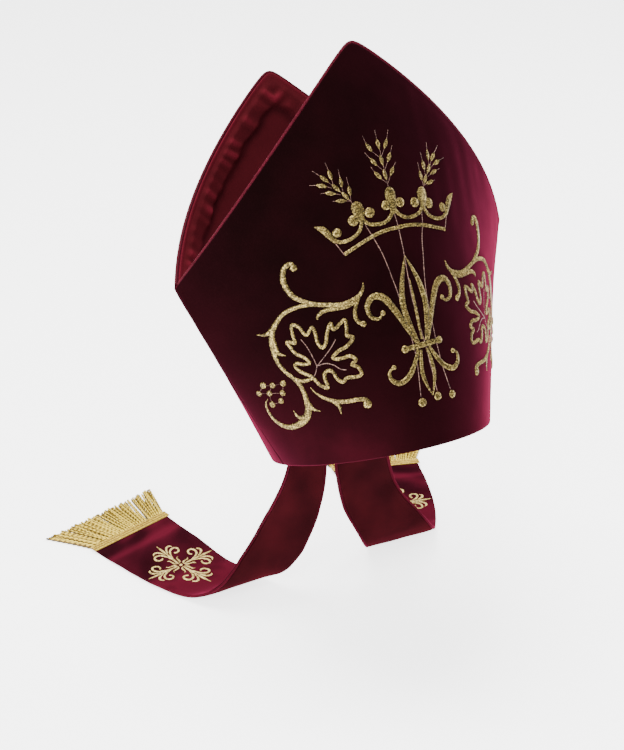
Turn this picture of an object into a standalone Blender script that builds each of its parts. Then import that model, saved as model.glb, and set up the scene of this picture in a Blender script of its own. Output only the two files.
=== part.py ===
"""A bishop's mitre of velvet on a stiff lining, worn and tilted back on a head.

Metres, +Z up, the front horn towards -Y. The origin is the centre of the rim, where a
head holds it. Two horns rise from an oval rim to a peak each, and meet at a seam on
either side. Satin lines them and folds down between them. A cord runs along each
horn's edge, and two fringed lappets hang from the back of the rim and lie on the
surface below.
"""

import math
from collections import namedtuple

import bmesh
import bpy
from mathutils import Matrix, Vector

# Horns
RIM_HALF_WIDTH = 0.089
RIM_HALF_DEPTH = 0.102
SIDE_HALF_WIDTH = 0.1523
SIDE_HEIGHT = 0.1584
PEAK_HEIGHT = 0.3186
FRONT_PEAK_DEPTH = 0.0848
BACK_PEAK_DEPTH = 0.0776
PANEL_BULGE = 0.0066
PANEL_WALL = 0.0026
EDGE_BOW = 0.0085
PEAK_ROUNDING = 0.005
BACKWARD_TILT = math.radians(24.8)

# The horn's section is an oval at the rim and a flatter bow at the side points, and
# its widening eases off upwards. SEAM_SLANT is how much more the seam's slant takes
# of a wall's thickness there.
RIM_ROUNDNESS = 2.0
SIDE_ROUNDNESS = 0.96
ROUNDNESS_SETTLES = 1.07
WIDENING_EASE = 0.4
SEAM_SLANT = 0.3

# Clearance that neighbouring pieces keep, and the seam between the horns
CLEARANCE = 0.0003

# Crown lining
LINING_WALL = 0.001
LINING_SAG = 0.018
LINING_HUG = 3.0

# Piping
PIPING_RADIUS = 0.00115

# Lappets
SURFACE_DROP = 0.192
LAPPET_TUCK = 0.018
LAPPET_WIDTH = 0.084
LAPPET_SPREAD = 0.135
LAPPET_BEND = 0.045
LAPPET_LIE = 0.117
LAPPET_TURN = 0.026
LAPPET_WALL = 0.0016
LAPPET_LINING_WALL = 0.001
LAPPET_LINING_MARGIN = 0.003
LAPPET_SETTLE = 0.07
HEADING_LENGTH = 0.009
HEADING_WALL = 0.0012
HEADING_OVERHANG = 0.0015

# Fringe
FRINGE_LENGTH = 0.045
FRINGE_HEAD = 0.006
FRINGE_THICKNESS = 0.0036
FRINGE_SPREAD = 0.04
LOCK_THINNING = 0.25
LOCK_STRAY = 0.08
LOCKS = 13

# Where the lappet runs, from the rim to its end: how far along it, how far out its
# middle is as a share of LAPPET_SPREAD, and how wide as a share of LAPPET_WIDTH
Section = namedtuple("Section", "place along out width")
LAPPET_SECTIONS = (
    Section("rim", 0.00, 0.18, 0.50),
    Section("nape", 0.13, 0.22, 0.60),
    Section("neck", 0.27, 0.32, 0.73),
    Section("bend starts", 0.36, 0.44, 0.82),
    Section("bend", 0.48, 0.59, 0.89),
    Section("bend ends", 0.58, 0.71, 0.91),
    Section("on the surface", 0.66, 0.80, 0.92),
    Section("cross", 0.78, 0.88, 0.96),
    Section("end", 1.00, 1.00, 1.00),
)

# A horn: its name, the side it is on, and how far its peak is from the middle
Horn = namedtuple("Horn", "name side peak_depth")
FRONT = Horn("front", -1, FRONT_PEAK_DEPTH)
BACK = Horn("back", 1, BACK_PEAK_DEPTH)

# Steps of the meshes
PANEL_COLUMNS = 32
PANEL_ROWS = 13
LINING_COLUMNS = PANEL_COLUMNS - 2
LINING_ROWS = 16
PIPING_STEPS = 38
PEAK_CROWDING = 1.35
LAPPET_COLUMNS = 6
LAPPET_ROWS = 30
TUCK_ROWS = 2
LAPPET_LINING_COLUMNS = 4
HEADING_ROWS = 2
LOCK_STEPS = 4
LOCK_SIDES = 6

TILTED = Matrix.Rotation(-BACKWARD_TILT, 4, "X")


def clear_scene():
    for thing in list(bpy.data.objects):
        bpy.data.objects.remove(thing, do_unlink=True)


def material(name, color, roughness, metallic=0.0):
    made = bpy.data.materials.new(name)
    made.use_nodes = True
    shader = made.node_tree.nodes["Principled BSDF"]
    shader.inputs["Base Color"].default_value = (*color, 1.0)
    shader.inputs["Roughness"].default_value = roughness
    shader.inputs["Metallic"].default_value = metallic
    return made


def smooth_step(share):
    share = min(max(share, 0.0), 1.0)
    return share * share * (3.0 - 2.0 * share)


# The horns' shape, upright, before the tilt

def half_width(height, inset=0.0):
    """From the mitre's middle to its side seam, less what a skin lies inside it."""
    share = height / SIDE_HEIGHT
    ease = WIDENING_EASE * math.pi / 2
    widening = (SIDE_HALF_WIDTH - RIM_HALF_WIDTH) * math.sin(ease * share) / math.sin(ease)
    return RIM_HALF_WIDTH + widening - inset * (1.0 + SEAM_SLANT * min(share, 1.0))


def middle_depth(horn, height, inset=0.0):
    """From the mitre's middle to the middle of a horn's face."""
    share = height / PEAK_HEIGHT
    lean = (horn.peak_depth - RIM_HALF_DEPTH) * share
    return RIM_HALF_DEPTH + lean + PANEL_BULGE * 4.0 * share * (1.0 - share) - inset


def arch(share, height):
    """How full the horn's section is at a share of its half width."""
    rise = math.sin(min(height / (SIDE_HEIGHT * ROUNDNESS_SETTLES), 1.0) * math.pi / 2)
    roundness = RIM_ROUNDNESS + (SIDE_ROUNDNESS - RIM_ROUNDNESS) * rise
    return max(1.0 - share * share, 0.0) ** (1.0 / roundness)


def horn_depth(horn, share, height, inset=0.0):
    """How far a skin of the horn is from the seam plane."""
    return middle_depth(horn, height, inset) * arch(share, height) + CLEARANCE / 2


def horn_point(horn, share, height, inset=0.0):
    across = half_width(height, inset) * share
    return Vector((across, horn.side * horn_depth(horn, share, height, inset), height))


def edge_height(share):
    """Height of a horn's edge: a bowed line from the side to a rounded peak."""
    soft = PEAK_ROUNDING / SIDE_HALF_WIDTH
    reach = (math.hypot(share, soft) - soft) / (math.hypot(1.0, soft) - soft)
    bow = 4.0 * EDGE_BOW / SIDE_HALF_WIDTH
    fall = (1.0 + bow - math.sqrt((1.0 + bow) ** 2 - 4.0 * bow * reach)) / (2.0 * bow)
    return PEAK_HEIGHT - (PEAK_HEIGHT - SIDE_HEIGHT) * fall


def column_share(across):
    """Where a column meets the edge, as a share of SIDE_HALF_WIDTH.

    Columns stand closer near the peak and near the seams.
    """
    turned = math.sin(abs(across) ** PEAK_CROWDING * math.pi / 2)
    return math.copysign(turned, across)


def column_point(horn, column, height, inset=0.0):
    """A point of a column, which runs from the rim up to the horn's edge."""
    top = edge_height(column)
    narrowing = (1.0 - SIDE_HALF_WIDTH / half_width(top)) * (height / top) ** 2
    return horn_point(horn, column * (1.0 - narrowing), height, inset)


def fold_height(share):
    """Height of the lining's valley between the horns."""
    return SIDE_HEIGHT - LINING_SAG * (1.0 - share * share)


# Making bodies

def finish(name, mesh, skin, collection, parent=None):
    mesh.materials.append(skin)
    mesh.shade_smooth()
    mesh.set_sharp_from_angle(angle=math.radians(40))
    made = bpy.data.objects.new(name, mesh)
    made.parent = parent
    collection.objects.link(made)
    return made


def laid_grid(body, columns, rows, place):
    """A grid whose points go where place(across, along) says, each from -1 or 0 to 1."""
    grid = bmesh.ops.create_grid(body, x_segments=columns, y_segments=rows, size=1.0)
    for point in grid["verts"]:
        point.co = place(point.co.x, (point.co.y + 1.0) / 2.0)


def slab(name, columns, rows, place):
    """A closed wall: two grids on its two skins, bridged round their border."""
    body = bmesh.new()
    laid_grid(body, columns, rows, lambda across, along: place(across, along, 0))
    laid_grid(body, columns, rows, lambda across, along: place(across, along, 1))
    border = [edge for edge in body.edges if edge.is_boundary]
    bmesh.ops.bridge_loops(body, edges=border)
    bmesh.ops.recalc_face_normals(body, faces=body.faces)
    mesh = bpy.data.meshes.new(name)
    body.to_mesh(mesh)
    body.free()
    return mesh


def round_bar(name, points, radii, sides):
    """A cord or lock along points, with its caps welded on, as a mesh."""
    curve = bpy.data.curves.new(name, "CURVE")
    curve.dimensions = "3D"
    curve.bevel_depth = 1.0
    curve.bevel_resolution = sides // 2 - 2
    curve.use_fill_caps = True
    spline = curve.splines.new("POLY")
    spline.points.add(len(points) - 1)
    for knot, point, radius in zip(spline.points, points, radii):
        knot.co = (*point, 1.0)
        knot.radius = radius
    guide = bpy.data.objects.new(name, curve)
    bpy.context.scene.collection.objects.link(guide)
    made = bpy.data.meshes.new_from_object(
        guide.evaluated_get(bpy.context.evaluated_depsgraph_get()))
    bpy.data.objects.remove(guide)
    body = bmesh.new()
    body.from_mesh(made)
    bmesh.ops.remove_doubles(body, verts=body.verts, dist=0.00001)
    bmesh.ops.recalc_face_normals(body, faces=body.faces)
    body.to_mesh(made)
    body.free()
    return made


# The pieces

def add_panel(horn, velvet, collection, seat):
    def place(across, along, skin):
        column = column_share(across)
        return column_point(horn, column, edge_height(column) * along, PANEL_WALL * skin)

    mesh = slab(horn.name + "_panel", PANEL_COLUMNS, PANEL_ROWS, place)
    return finish(mesh.name, mesh, velvet, collection, seat)


def add_crown_lining(satin, collection, seat):
    """One satin wall: up each horn inside its panel, and down in a fold between them."""
    def place(across, along, skin):
        column = column_share(across * LINING_COLUMNS / PANEL_COLUMNS)
        up = 2.0 * along - 1.0
        horn = FRONT if up < 0 else BACK
        turned = abs(up) * math.pi / 2
        outward = math.sin(turned) ** (2.0 / LINING_HUG)
        risen = 1.0 - math.cos(turned) ** (2.0 / LINING_HUG)
        low = fold_height(column) - LINING_WALL * (1 - skin)
        height = low + (edge_height(column) - low) * risen
        inset = PANEL_WALL + CLEARANCE + LINING_WALL * skin
        point = column_point(horn, column, height, inset)
        point.y *= outward
        return point

    mesh = slab("crown_lining", LINING_COLUMNS, LINING_ROWS, place)
    return finish(mesh.name, mesh, satin, collection, seat)


def edge_middle(horn, column):
    """The middle of a panel's top, between its two skins."""
    return column_point(horn, column, edge_height(column), PANEL_WALL / 2)


def piping_reach():
    """The column where a cord stops, clear of the other horn's cord."""
    needed = (CLEARANCE + 1.5 * PIPING_RADIUS) / middle_depth(BACK, SIDE_HEIGHT)
    return math.sqrt(1.0 - needed ** SIDE_ROUNDNESS)


def piping_point(horn, across):
    """A point of the cord's middle: off the panel's top by its radius and the gap."""
    column = column_share(across) * piping_reach()
    nudge = 0.001
    ahead = edge_middle(horn, column + nudge)
    behind = edge_middle(horn, column - nudge)
    along = (ahead - behind).normalized()
    height = edge_height(column)
    through = column_point(horn, column, height) - column_point(horn, column, height, PANEL_WALL)
    outward = through.cross(along).normalized()
    if outward.z < 0:
        outward.negate()
    return edge_middle(horn, column) + outward * (PIPING_RADIUS + CLEARANCE)


def add_piping(horn, cord, collection, seat):
    steps = [2.0 * step / PIPING_STEPS - 1.0 for step in range(PIPING_STEPS + 1)]
    points = [piping_point(horn, across) for across in steps]
    mesh = round_bar(horn.name + "_piping", points, [PIPING_RADIUS] * len(points), 8)
    return finish(mesh.name, mesh, cord, collection, seat)


# Lappets. One side is worked out, and the other is its mirror image.

LAPPET_THICKNESS = LAPPET_LINING_WALL + CLEARANCE + LAPPET_WALL


def section_at(along, column):
    """A column of the table of sections, smoothed between its rows."""
    rows = LAPPET_SECTIONS
    last = len(rows) - 1
    lower = max(i for i in range(last) if rows[i].along <= along or i == 0)
    a, b = rows[lower], rows[lower + 1]
    before, after = rows[max(lower - 1, 0)], rows[min(lower + 2, last)]
    span = b.along - a.along
    share = (along - a.along) / span
    value_a, value_b = getattr(a, column), getattr(b, column)
    slope_a = (value_b - getattr(before, column)) / (b.along - before.along)
    slope_b = (getattr(after, column) - value_a) / (after.along - a.along)
    bent = share * (1.0 - share) * span
    value = value_a + (value_b - value_a) * smooth_step(share)
    return value + bent * ((1.0 - share) * slope_a - share * slope_b)


def rim_point(across, offset):
    """Where the lappet leaves the rim, inside the back panel."""
    return TILTED @ tucked_point(across, 0.0, offset)


def tucked_point(across, height, offset):
    inset = PANEL_WALL + CLEARANCE + LAPPET_THICKNESS - offset
    share = across / half_width(height, inset)
    return horn_point(BACK, share, height, inset)


def lappet_middle_at_rim():
    return section_at(0.0, "out") * LAPPET_SPREAD


def lappet_run():
    """Length of the lappet from the rim to its end."""
    rim = rim_point(lappet_middle_at_rim(), 0.0)
    straight = SURFACE_DROP + rim.z - LAPPET_BEND
    return straight + LAPPET_BEND * math.pi / 2 + LAPPET_LIE


def lappet_point(across, run, offset, margin=0.0):
    """A point of the lappet's cloth.

    across is -1 at its outer edge and 1 at its inner one, run is how far it is below
    the rim along the cloth, and offset is how far from the face that lies on the surface.
    """
    length = lappet_run()
    along = min(max(run / length, 0.0), 1.0)
    half = section_at(along, "width") * LAPPET_WIDTH / 2 - margin
    middle = section_at(along, "out") * LAPPET_SPREAD
    x = middle - across * half
    if run < 0:
        inside = TILTED @ tucked_point(x, -run, offset)
        return Vector((x, inside.y, inside.z))
    rim = rim_point(lappet_middle_at_rim(), offset)
    here = rim_point(x, offset)
    face_y = rim_point(lappet_middle_at_rim(), 0.0).y
    hang = length - LAPPET_LIE - LAPPET_BEND * math.pi / 2
    bend_run = LAPPET_BEND * math.pi / 2
    if run < hang:
        y = face_y + offset
        z = LAPPET_BEND - SURFACE_DROP + hang - run
    elif run < hang + bend_run:
        angle = (run - hang) / LAPPET_BEND
        y = face_y + LAPPET_BEND - (LAPPET_BEND - offset) * math.cos(angle)
        z = LAPPET_BEND - SURFACE_DROP - (LAPPET_BEND - offset) * math.sin(angle)
    else:
        y = face_y + LAPPET_BEND + run - hang - bend_run
        z = offset - SURFACE_DROP
    hugging = 1.0 - smooth_step(run / LAPPET_SETTLE)
    y += (here.y - rim.y) * hugging
    z += (here.z - rim.z) * hugging
    turned = smooth_step((run - hang - bend_run) / LAPPET_LIE)
    y += across * half / (LAPPET_WIDTH / 2) * LAPPET_TURN / 2 * turned
    return Vector((x, y, z))


def run_at(along, length):
    """How far below the rim a row of the lappet lies, with one row on the rim itself."""
    row = along * LAPPET_ROWS
    if row < TUCK_ROWS:
        return LAPPET_TUCK * (row / TUCK_ROWS - 1.0)
    return length * (row - TUCK_ROWS) / (LAPPET_ROWS - TUCK_ROWS)


def mirrored(point, side):
    return Vector((side * point.x, point.y, point.z))


def add_lappet(side_name, side, velvet, collection):
    length = lappet_run()

    def place(across, along, skin):
        run = run_at(along, length)
        offset = LAPPET_LINING_WALL + CLEARANCE + LAPPET_WALL * skin
        return mirrored(lappet_point(across, run, offset), side)

    mesh = slab(side_name + "_lappet", LAPPET_COLUMNS, LAPPET_ROWS, place)
    return finish(mesh.name, mesh, velvet, collection)


def add_lappet_lining(side_name, side, satin, collection):
    length = lappet_run() - LAPPET_LINING_MARGIN

    def place(across, along, skin):
        run = run_at(along, length)
        offset = LAPPET_LINING_WALL * skin
        return mirrored(lappet_point(across, run, offset, LAPPET_LINING_MARGIN), side)

    mesh = slab(side_name + "_lappet_lining", LAPPET_LINING_COLUMNS, LAPPET_ROWS, place)
    return finish(mesh.name, mesh, satin, collection)


def add_heading(side_name, side, gold, collection):
    length = lappet_run()

    def place(across, along, skin):
        run = length - HEADING_LENGTH * (1.0 - along)
        offset = LAPPET_THICKNESS + CLEARANCE + HEADING_WALL * skin
        return mirrored(lappet_point(across, run, offset, -HEADING_OVERHANG), side)

    mesh = slab(side_name + "_heading", LAPPET_COLUMNS, HEADING_ROWS, place)
    return finish(mesh.name, mesh, gold, collection)


def fringe_frame():
    """The lappet's end: its middle, the way across it and the way the fringe runs."""
    length = lappet_run()
    outer = lappet_point(-1.0, length, 0.0)
    inner = lappet_point(1.0, length, 0.0)
    across = inner - outer
    ahead = Vector((0.0, 0.0, 1.0)).cross(across).normalized()
    if ahead.y < 0:
        ahead.negate()
    return (outer + inner) / 2, across, ahead


def fringe_point(across, ahead, height):
    """A point beyond the lappet's end, fanned out by how far ahead it lies."""
    middle, width, forward = fringe_frame()
    spread = 1.0 + FRINGE_SPREAD / width.length * ahead / FRINGE_LENGTH
    point = middle + width / 2 * across * spread + forward * (ahead + CLEARANCE)
    point.z += height
    return point


def lock_mesh(name, lock, side):
    """One flat lock of twisted threads, from inside the head to its own tip."""
    pitch = fringe_frame()[1].length / LOCKS
    across = (2.0 * lock + 1.0) / LOCKS - 1.0
    length = FRINGE_LENGTH * (1.0 + LOCK_STRAY * math.sin(2.3 * lock))
    points = []
    radii = []
    for step in range(LOCK_STEPS + 1):
        share = step / LOCK_STEPS
        ahead = FRINGE_HEAD / 2 + (length - FRINGE_HEAD / 2) * share
        points.append(mirrored(fringe_point(across, ahead, SURFACE_DROP), side))
        radii.append(pitch / 2 * (1.0 - LOCK_THINNING * share))
    mesh = round_bar(name, points, radii, LOCK_SIDES)
    flatten = Matrix.Scale(FRINGE_THICKNESS / pitch, 4, Vector((0.0, 0.0, 1.0)))
    lift = Matrix.Translation((0.0, 0.0, FRINGE_THICKNESS / 2 - SURFACE_DROP))
    mesh.transform(lift @ flatten)
    return mesh


def add_fringe(side_name, side, gold, collection):
    def head(across, along, skin):
        height = FRINGE_THICKNESS * skin
        return mirrored(fringe_point(across, FRINGE_HEAD * along, height), side)

    name = side_name + "_fringe"
    made = finish(name, slab(name, LOCKS, 1, head), gold, collection)
    for lock in range(LOCKS):
        mesh = lock_mesh(name + "_lock", lock, side)
        tool = bpy.data.objects.new(mesh.name, mesh)
        collection.objects.link(tool)
        join(made, tool)
    return made


def join(body, tool):
    """Fuses tool into body with a Boolean union, and takes tool away."""
    union = body.modifiers.new("fuse", "BOOLEAN")
    union.operation = "UNION"
    union.solver = "EXACT"
    union.object = tool
    fused = bpy.data.meshes.new_from_object(
        body.evaluated_get(bpy.context.evaluated_depsgraph_get()))
    body.modifiers.clear()
    body.data = fused
    bpy.data.objects.remove(tool)


def main():
    clear_scene()
    collection = bpy.data.collections.new("bishop_mitre")
    bpy.context.scene.collection.children.link(collection)
    seat = bpy.data.objects.new("head_seat", None)
    seat.rotation_euler = (-BACKWARD_TILT, 0.0, 0.0)
    collection.objects.link(seat)

    velvet = material("velvet", (0.09, 0.004, 0.016), 0.9)
    satin = material("satin", (0.16, 0.006, 0.024), 0.45)
    cord = material("piping_cord", (0.12, 0.006, 0.022), 0.7)
    gold = material("gold_braid", (0.6, 0.42, 0.16), 0.4, 0.6)

    for horn in (FRONT, BACK):
        add_panel(horn, velvet, collection, seat)
        add_piping(horn, cord, collection, seat)
    add_crown_lining(satin, collection, seat)
    for side_name, side in (("left", -1), ("right", 1)):
        add_lappet(side_name, side, velvet, collection)
        add_lappet_lining(side_name, side, satin, collection)
        add_heading(side_name, side, gold, collection)
        add_fringe(side_name, side, gold, collection)


main()
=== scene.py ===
"""Looks of a bishop's mitre: velvet horns with gold embroidery, a satin lining, fringed lappets.

Metres, +Z up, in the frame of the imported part. The shapes repeat the part's own sizes, so
that each piece lies where its solid is.
"""

import math
from collections import namedtuple

import bmesh
import bpy
import numpy as np
from mathutils import Matrix, Vector, noise
from mathutils.bvhtree import BVHTree


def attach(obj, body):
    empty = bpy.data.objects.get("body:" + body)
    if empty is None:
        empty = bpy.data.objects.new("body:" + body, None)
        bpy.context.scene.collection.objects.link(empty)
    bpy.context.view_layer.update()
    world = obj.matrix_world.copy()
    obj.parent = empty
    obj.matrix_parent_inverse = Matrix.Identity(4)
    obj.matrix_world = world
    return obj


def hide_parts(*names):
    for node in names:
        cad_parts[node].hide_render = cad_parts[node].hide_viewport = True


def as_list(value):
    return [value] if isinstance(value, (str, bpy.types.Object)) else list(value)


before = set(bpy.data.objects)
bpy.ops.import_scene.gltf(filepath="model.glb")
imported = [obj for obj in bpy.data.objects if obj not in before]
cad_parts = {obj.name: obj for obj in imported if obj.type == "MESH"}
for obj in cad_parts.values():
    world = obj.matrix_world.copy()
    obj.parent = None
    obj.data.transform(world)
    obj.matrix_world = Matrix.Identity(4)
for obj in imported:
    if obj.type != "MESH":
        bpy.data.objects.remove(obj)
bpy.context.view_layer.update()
MM = 0.001

# Sizes of the part
RIM_HALF_WIDTH = 0.089
RIM_HALF_DEPTH = 0.102
SIDE_HALF_WIDTH = 0.1523
SIDE_HEIGHT = 0.1584
PEAK_HEIGHT = 0.3186
FRONT_PEAK_DEPTH = 0.0848
BACK_PEAK_DEPTH = 0.0776
PANEL_BULGE = 0.0066
PANEL_WALL = 0.0026
EDGE_BOW = 0.0085
PEAK_ROUNDING = 0.005
BACKWARD_TILT = math.radians(24.8)
RIM_ROUNDNESS = 2.0
SIDE_ROUNDNESS = 0.96
ROUNDNESS_SETTLES = 1.07
WIDENING_EASE = 0.4
SEAM_SLANT = 0.3
CLEARANCE = 0.0003
LINING_WALL = 0.001
LINING_SAG = 0.018
LINING_HUG = 3.0
LINING_REACH = 30 / 32
PIPING_RADIUS = 0.00115
SURFACE_DROP = 0.192
LAPPET_TUCK = 0.018
LAPPET_WIDTH = 0.084
LAPPET_SPREAD = 0.135
LAPPET_BEND = 0.045
LAPPET_LIE = 0.117
LAPPET_TURN = 0.026
LAPPET_WALL = 0.0016
LAPPET_LINING_WALL = 0.001
LAPPET_LINING_MARGIN = 0.003
LAPPET_SETTLE = 0.07
HEADING_LENGTH = 0.009
HEADING_WALL = 0.0012
HEADING_OVERHANG = 0.0015
FRINGE_LENGTH = 0.045
FRINGE_SPREAD = 0.04

Section = namedtuple("Section", "place along out width")
LAPPET_SECTIONS = (
    Section("rim", 0.00, 0.18, 0.50),
    Section("nape", 0.13, 0.22, 0.60),
    Section("neck", 0.27, 0.32, 0.73),
    Section("bend starts", 0.36, 0.44, 0.82),
    Section("bend", 0.48, 0.59, 0.89),
    Section("bend ends", 0.58, 0.71, 0.91),
    Section("on the surface", 0.66, 0.80, 0.92),
    Section("cross", 0.78, 0.88, 0.96),
    Section("end", 1.00, 1.00, 1.00),
)

Horn = namedtuple("Horn", "name side peak_depth")
FRONT = Horn("front", -1, FRONT_PEAK_DEPTH)
BACK = Horn("back", 1, BACK_PEAK_DEPTH)

# The photograph's view: 624 by 750 pixels
PHOTO_WIDTH = 624
PHOTO_HEIGHT = 750
VIEW_AZIMUTH = math.radians(-27.43)
VIEW_ELEVATION = math.radians(28.0)
VIEW_DISTANCE = 1.468
VIEW_FOCUS = 1800.0
VIEW_AIM_ACROSS = -0.0567
VIEW_AIM_UP = 0.0613
SENSOR = 36.0
CLIP_NEAR = 0.1
CLIP_FAR = 60.0


# Camera

def view_axes():
    """Right, up and back of the camera, and where it stands."""
    sin_a, cos_a = math.sin(VIEW_AZIMUTH), math.cos(VIEW_AZIMUTH)
    sin_e, cos_e = math.sin(VIEW_ELEVATION), math.cos(VIEW_ELEVATION)
    back = Vector((sin_a * cos_e, -cos_a * cos_e, sin_e))
    right = Vector((cos_a, sin_a, 0.0))
    up = back.cross(right)
    aim = right * VIEW_AIM_ACROSS + Vector((0.0, 0.0, VIEW_AIM_UP))
    return right, up, back, aim + back * VIEW_DISTANCE


def add_camera():
    right, up, back, place = view_axes()
    lens = bpy.data.cameras.new("camera")
    lens.lens = VIEW_FOCUS / PHOTO_HEIGHT * SENSOR
    lens.sensor_width = SENSOR
    lens.clip_start = CLIP_NEAR
    lens.clip_end = CLIP_FAR
    made = bpy.data.objects.new("camera", lens)
    turned = Matrix((right, up, back)).transposed().to_4x4()
    made.matrix_world = Matrix.Translation(place) @ turned
    bpy.context.scene.collection.objects.link(made)
    bpy.context.scene.camera = made


def pixel_ray(x, y):
    """Where the camera stands, and the way to a pixel of the photograph."""
    right, up, back, place = view_axes()
    across = right * (x - PHOTO_WIDTH / 2)
    down = up * (y - PHOTO_HEIGHT / 2)
    return place, (across - down - back * VIEW_FOCUS).normalized()


# Floor and light

FLOOR_HALF_SIZE = 14.0
FLOOR_BELOW = 0.0002
FLOOR_GRAY = 0.9
FLOOR_ROUGHNESS = 0.7
FLOOR_GLOW = 2.8
WHITE = (1.0, 1.0, 1.0, 1.0)
LIGHTS_AIM = (0.0, 0.0, 0.1)
WORLD_STRENGTH = 0.45
Light = namedtuple("Light", "name place size power")
LIGHTS = (
    Light("left", (-2.1, -0.7, 0.66), (1.2, 1.1), 64.0),
    Light("right", (1.9, 0.0, 0.9), (1.0, 1.6), 45.0),
    Light("above", (-0.2, 0.5, 2.6), (1.6, 1.6), 170.0),
    Light("key", (-1.3, -1.5, 2.2), (0.6, 0.6), 35.0),
)


def add_floor():
    mesh = bpy.data.meshes.new("floor")
    body = bmesh.new()
    bmesh.ops.create_grid(body, x_segments=1, y_segments=1, size=FLOOR_HALF_SIZE)
    body.to_mesh(mesh)
    body.free()
    floor = bpy.data.objects.new("floor", mesh)
    floor.location = (0.0, 0.0, -SURFACE_DROP - FLOOR_BELOW)
    bpy.context.scene.collection.objects.link(floor)
    skin, *_, shader = new_material("pale_floor")
    set_inputs(shader, {
        "Base Color": (FLOOR_GRAY, FLOOR_GRAY, FLOOR_GRAY, 1.0),
        "Roughness": FLOOR_ROUGHNESS,
        "Emission Color": WHITE,
        "Emission Strength": FLOOR_GLOW,
    })
    mesh.materials.append(skin)


def add_lights():
    world = bpy.data.worlds.new("studio")
    bpy.context.scene.world = world
    world.use_nodes = True
    backdrop = world.node_tree.nodes["Background"]
    set_inputs(backdrop, {"Color": WHITE, "Strength": WORLD_STRENGTH})
    for light in LIGHTS:
        data = bpy.data.lights.new(light.name, "AREA")
        data.shape = "RECTANGLE"
        data.size, data.size_y = light.size
        data.energy = light.power
        made = bpy.data.objects.new(light.name, data)
        made.location = light.place
        way = Vector(LIGHTS_AIM) - Vector(light.place)
        made.rotation_euler = way.to_track_quat("-Z", "Y").to_euler()
        bpy.context.scene.collection.objects.link(made)


# Materials. A ramp's stops are places from 0 to 1 with their colours. Where a cloth has
# clouds, they add random tone to a value the mesh holds, which paints light and shade into its
# colour: lighter where lamps and the floor light it, darker where it lies in shade. A thread's
# grain adds speckle to the shade that the mesh's "thread" holds: random tone for each stitch,
# and painted light and shade on strokes, strands, rounds and the braid's ridges.

Noise = namedtuple("Noise", "scale detail roughness stretch", defaults=(3.0, 0.5, (1.0, 1.0, 1.0)))
Cloth = namedtuple("Cloth", "name stops grain bump bump_depth clouds cloud_share "
                            "roughness gloss sheen sheen_spread sheen_tint")
VELVET = Cloth(
    name="velvet",
    stops=((0.1, (0.0030, 0.0011, 0.0011)), (0.45, (0.0120, 0.0018, 0.0028)),
           (1.0, (0.063, 0.0050, 0.0115))),
    grain=Noise(900.0, 2.0), bump=0.12, bump_depth=0.0004,
    clouds=Noise(18.0, 4.0, 0.6), cloud_share=0.3, roughness=0.85, gloss=0.0,
    sheen=0.46, sheen_spread=0.36, sheen_tint=(0.66, 0.06, 0.175, 1.0),
)
SATIN = Cloth(
    name="satin",
    stops=((0.05, (0.016, 0.0026, 0.0036)), (0.4, (0.045, 0.0050, 0.0074)),
           (1.0, (0.150, 0.0110, 0.0230))),
    grain=Noise(2200.0, 1.0, stretch=(1.0, 1.0, 0.25)), bump=0.15, bump_depth=0.0002,
    clouds=Noise(40.0), cloud_share=0.25, roughness=0.5, gloss=0.0,
    sheen=0.12, sheen_spread=0.3, sheen_tint=(0.7, 0.05, 0.12, 1.0),
)
CORD = Cloth(
    name="piping_cord",
    stops=((0.35, (0.034, 0.002, 0.005)), (0.65, (0.066, 0.004, 0.011))),
    grain=Noise(700.0, 2.0), bump=0.4, bump_depth=0.0004,
    clouds=None, cloud_share=0.0, roughness=0.6, gloss=0.05,
    sheen=0.07, sheen_spread=0.4, sheen_tint=(0.7, 0.05, 0.14, 1.0),
)
Thread = namedtuple("Thread", "name roughness metallic speckle stops")
GOLD = Thread("gold_embroidery", 0.38, 0.7, 3.0, (
    (0.1, (0.028, 0.019, 0.005)), (0.5, (0.170, 0.120, 0.030)), (0.95, (0.66, 0.51, 0.16))))
PALE_GOLD = Thread("pale_gold", 0.42, 0.4, 1.2, (
    (0.1, (0.10, 0.065, 0.014)), (0.5, (0.74, 0.56, 0.18)), (0.95, (1.0, 0.90, 0.44))))
BRAID = Thread("gold_braid", 0.4, 0.5, 1.2, (
    (0.1, (0.012, 0.006, 0.001)), (0.5, (0.29, 0.165, 0.009)), (0.95, (1.0, 0.75, 0.10))))
COPPER = Thread("copper_thread", 0.45, 0.4, 2.5, (
    (0.1, (0.030, 0.010, 0.010)), (0.9, (0.36, 0.21, 0.16))))
# What all threads share: the grain, and the part that each stitch's own shade has
THREAD_GRAIN = Noise(950.0, 2.0, 0.6)
THREAD_BUMP = 0.5
THREAD_BUMP_DEPTH = 0.0003
THREAD_SHARE = 0.55
THREAD_BASE = 0.2


def new_material(name):
    made = bpy.data.materials.new(name)
    made.use_nodes = True
    nodes, links = made.node_tree.nodes, made.node_tree.links
    return made, nodes, links, nodes["Principled BSDF"]


def set_inputs(node, values):
    for name, value in values.items():
        node.inputs[name].default_value = value


def add_noise(nodes, links, pattern):
    """Noise in metres of the part's own frame."""
    place = nodes.new("ShaderNodeTexCoord")
    mapping = nodes.new("ShaderNodeMapping")
    mapping.inputs["Scale"].default_value = pattern.stretch
    grain = nodes.new("ShaderNodeTexNoise")
    set_inputs(grain, {"Scale": pattern.scale, "Detail": pattern.detail,
                       "Roughness": pattern.roughness})
    links.new(place.outputs["Object"], mapping.inputs["Vector"])
    links.new(mapping.outputs["Vector"], grain.inputs["Vector"])
    return grain.outputs["Fac"]


def add_ramp(nodes, links, value, stops):
    ramp = nodes.new("ShaderNodeValToRGB")
    points = ramp.color_ramp.elements
    points[0].position, points[0].color = stops[0][0], (*stops[0][1], 1.0)
    points[1].position, points[1].color = stops[-1][0], (*stops[-1][1], 1.0)
    for position, color in stops[1:-1]:
        point = points.new(position)
        point.color = (*color, 1.0)
    links.new(value, ramp.inputs["Fac"])
    return ramp.outputs["Color"]


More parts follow.
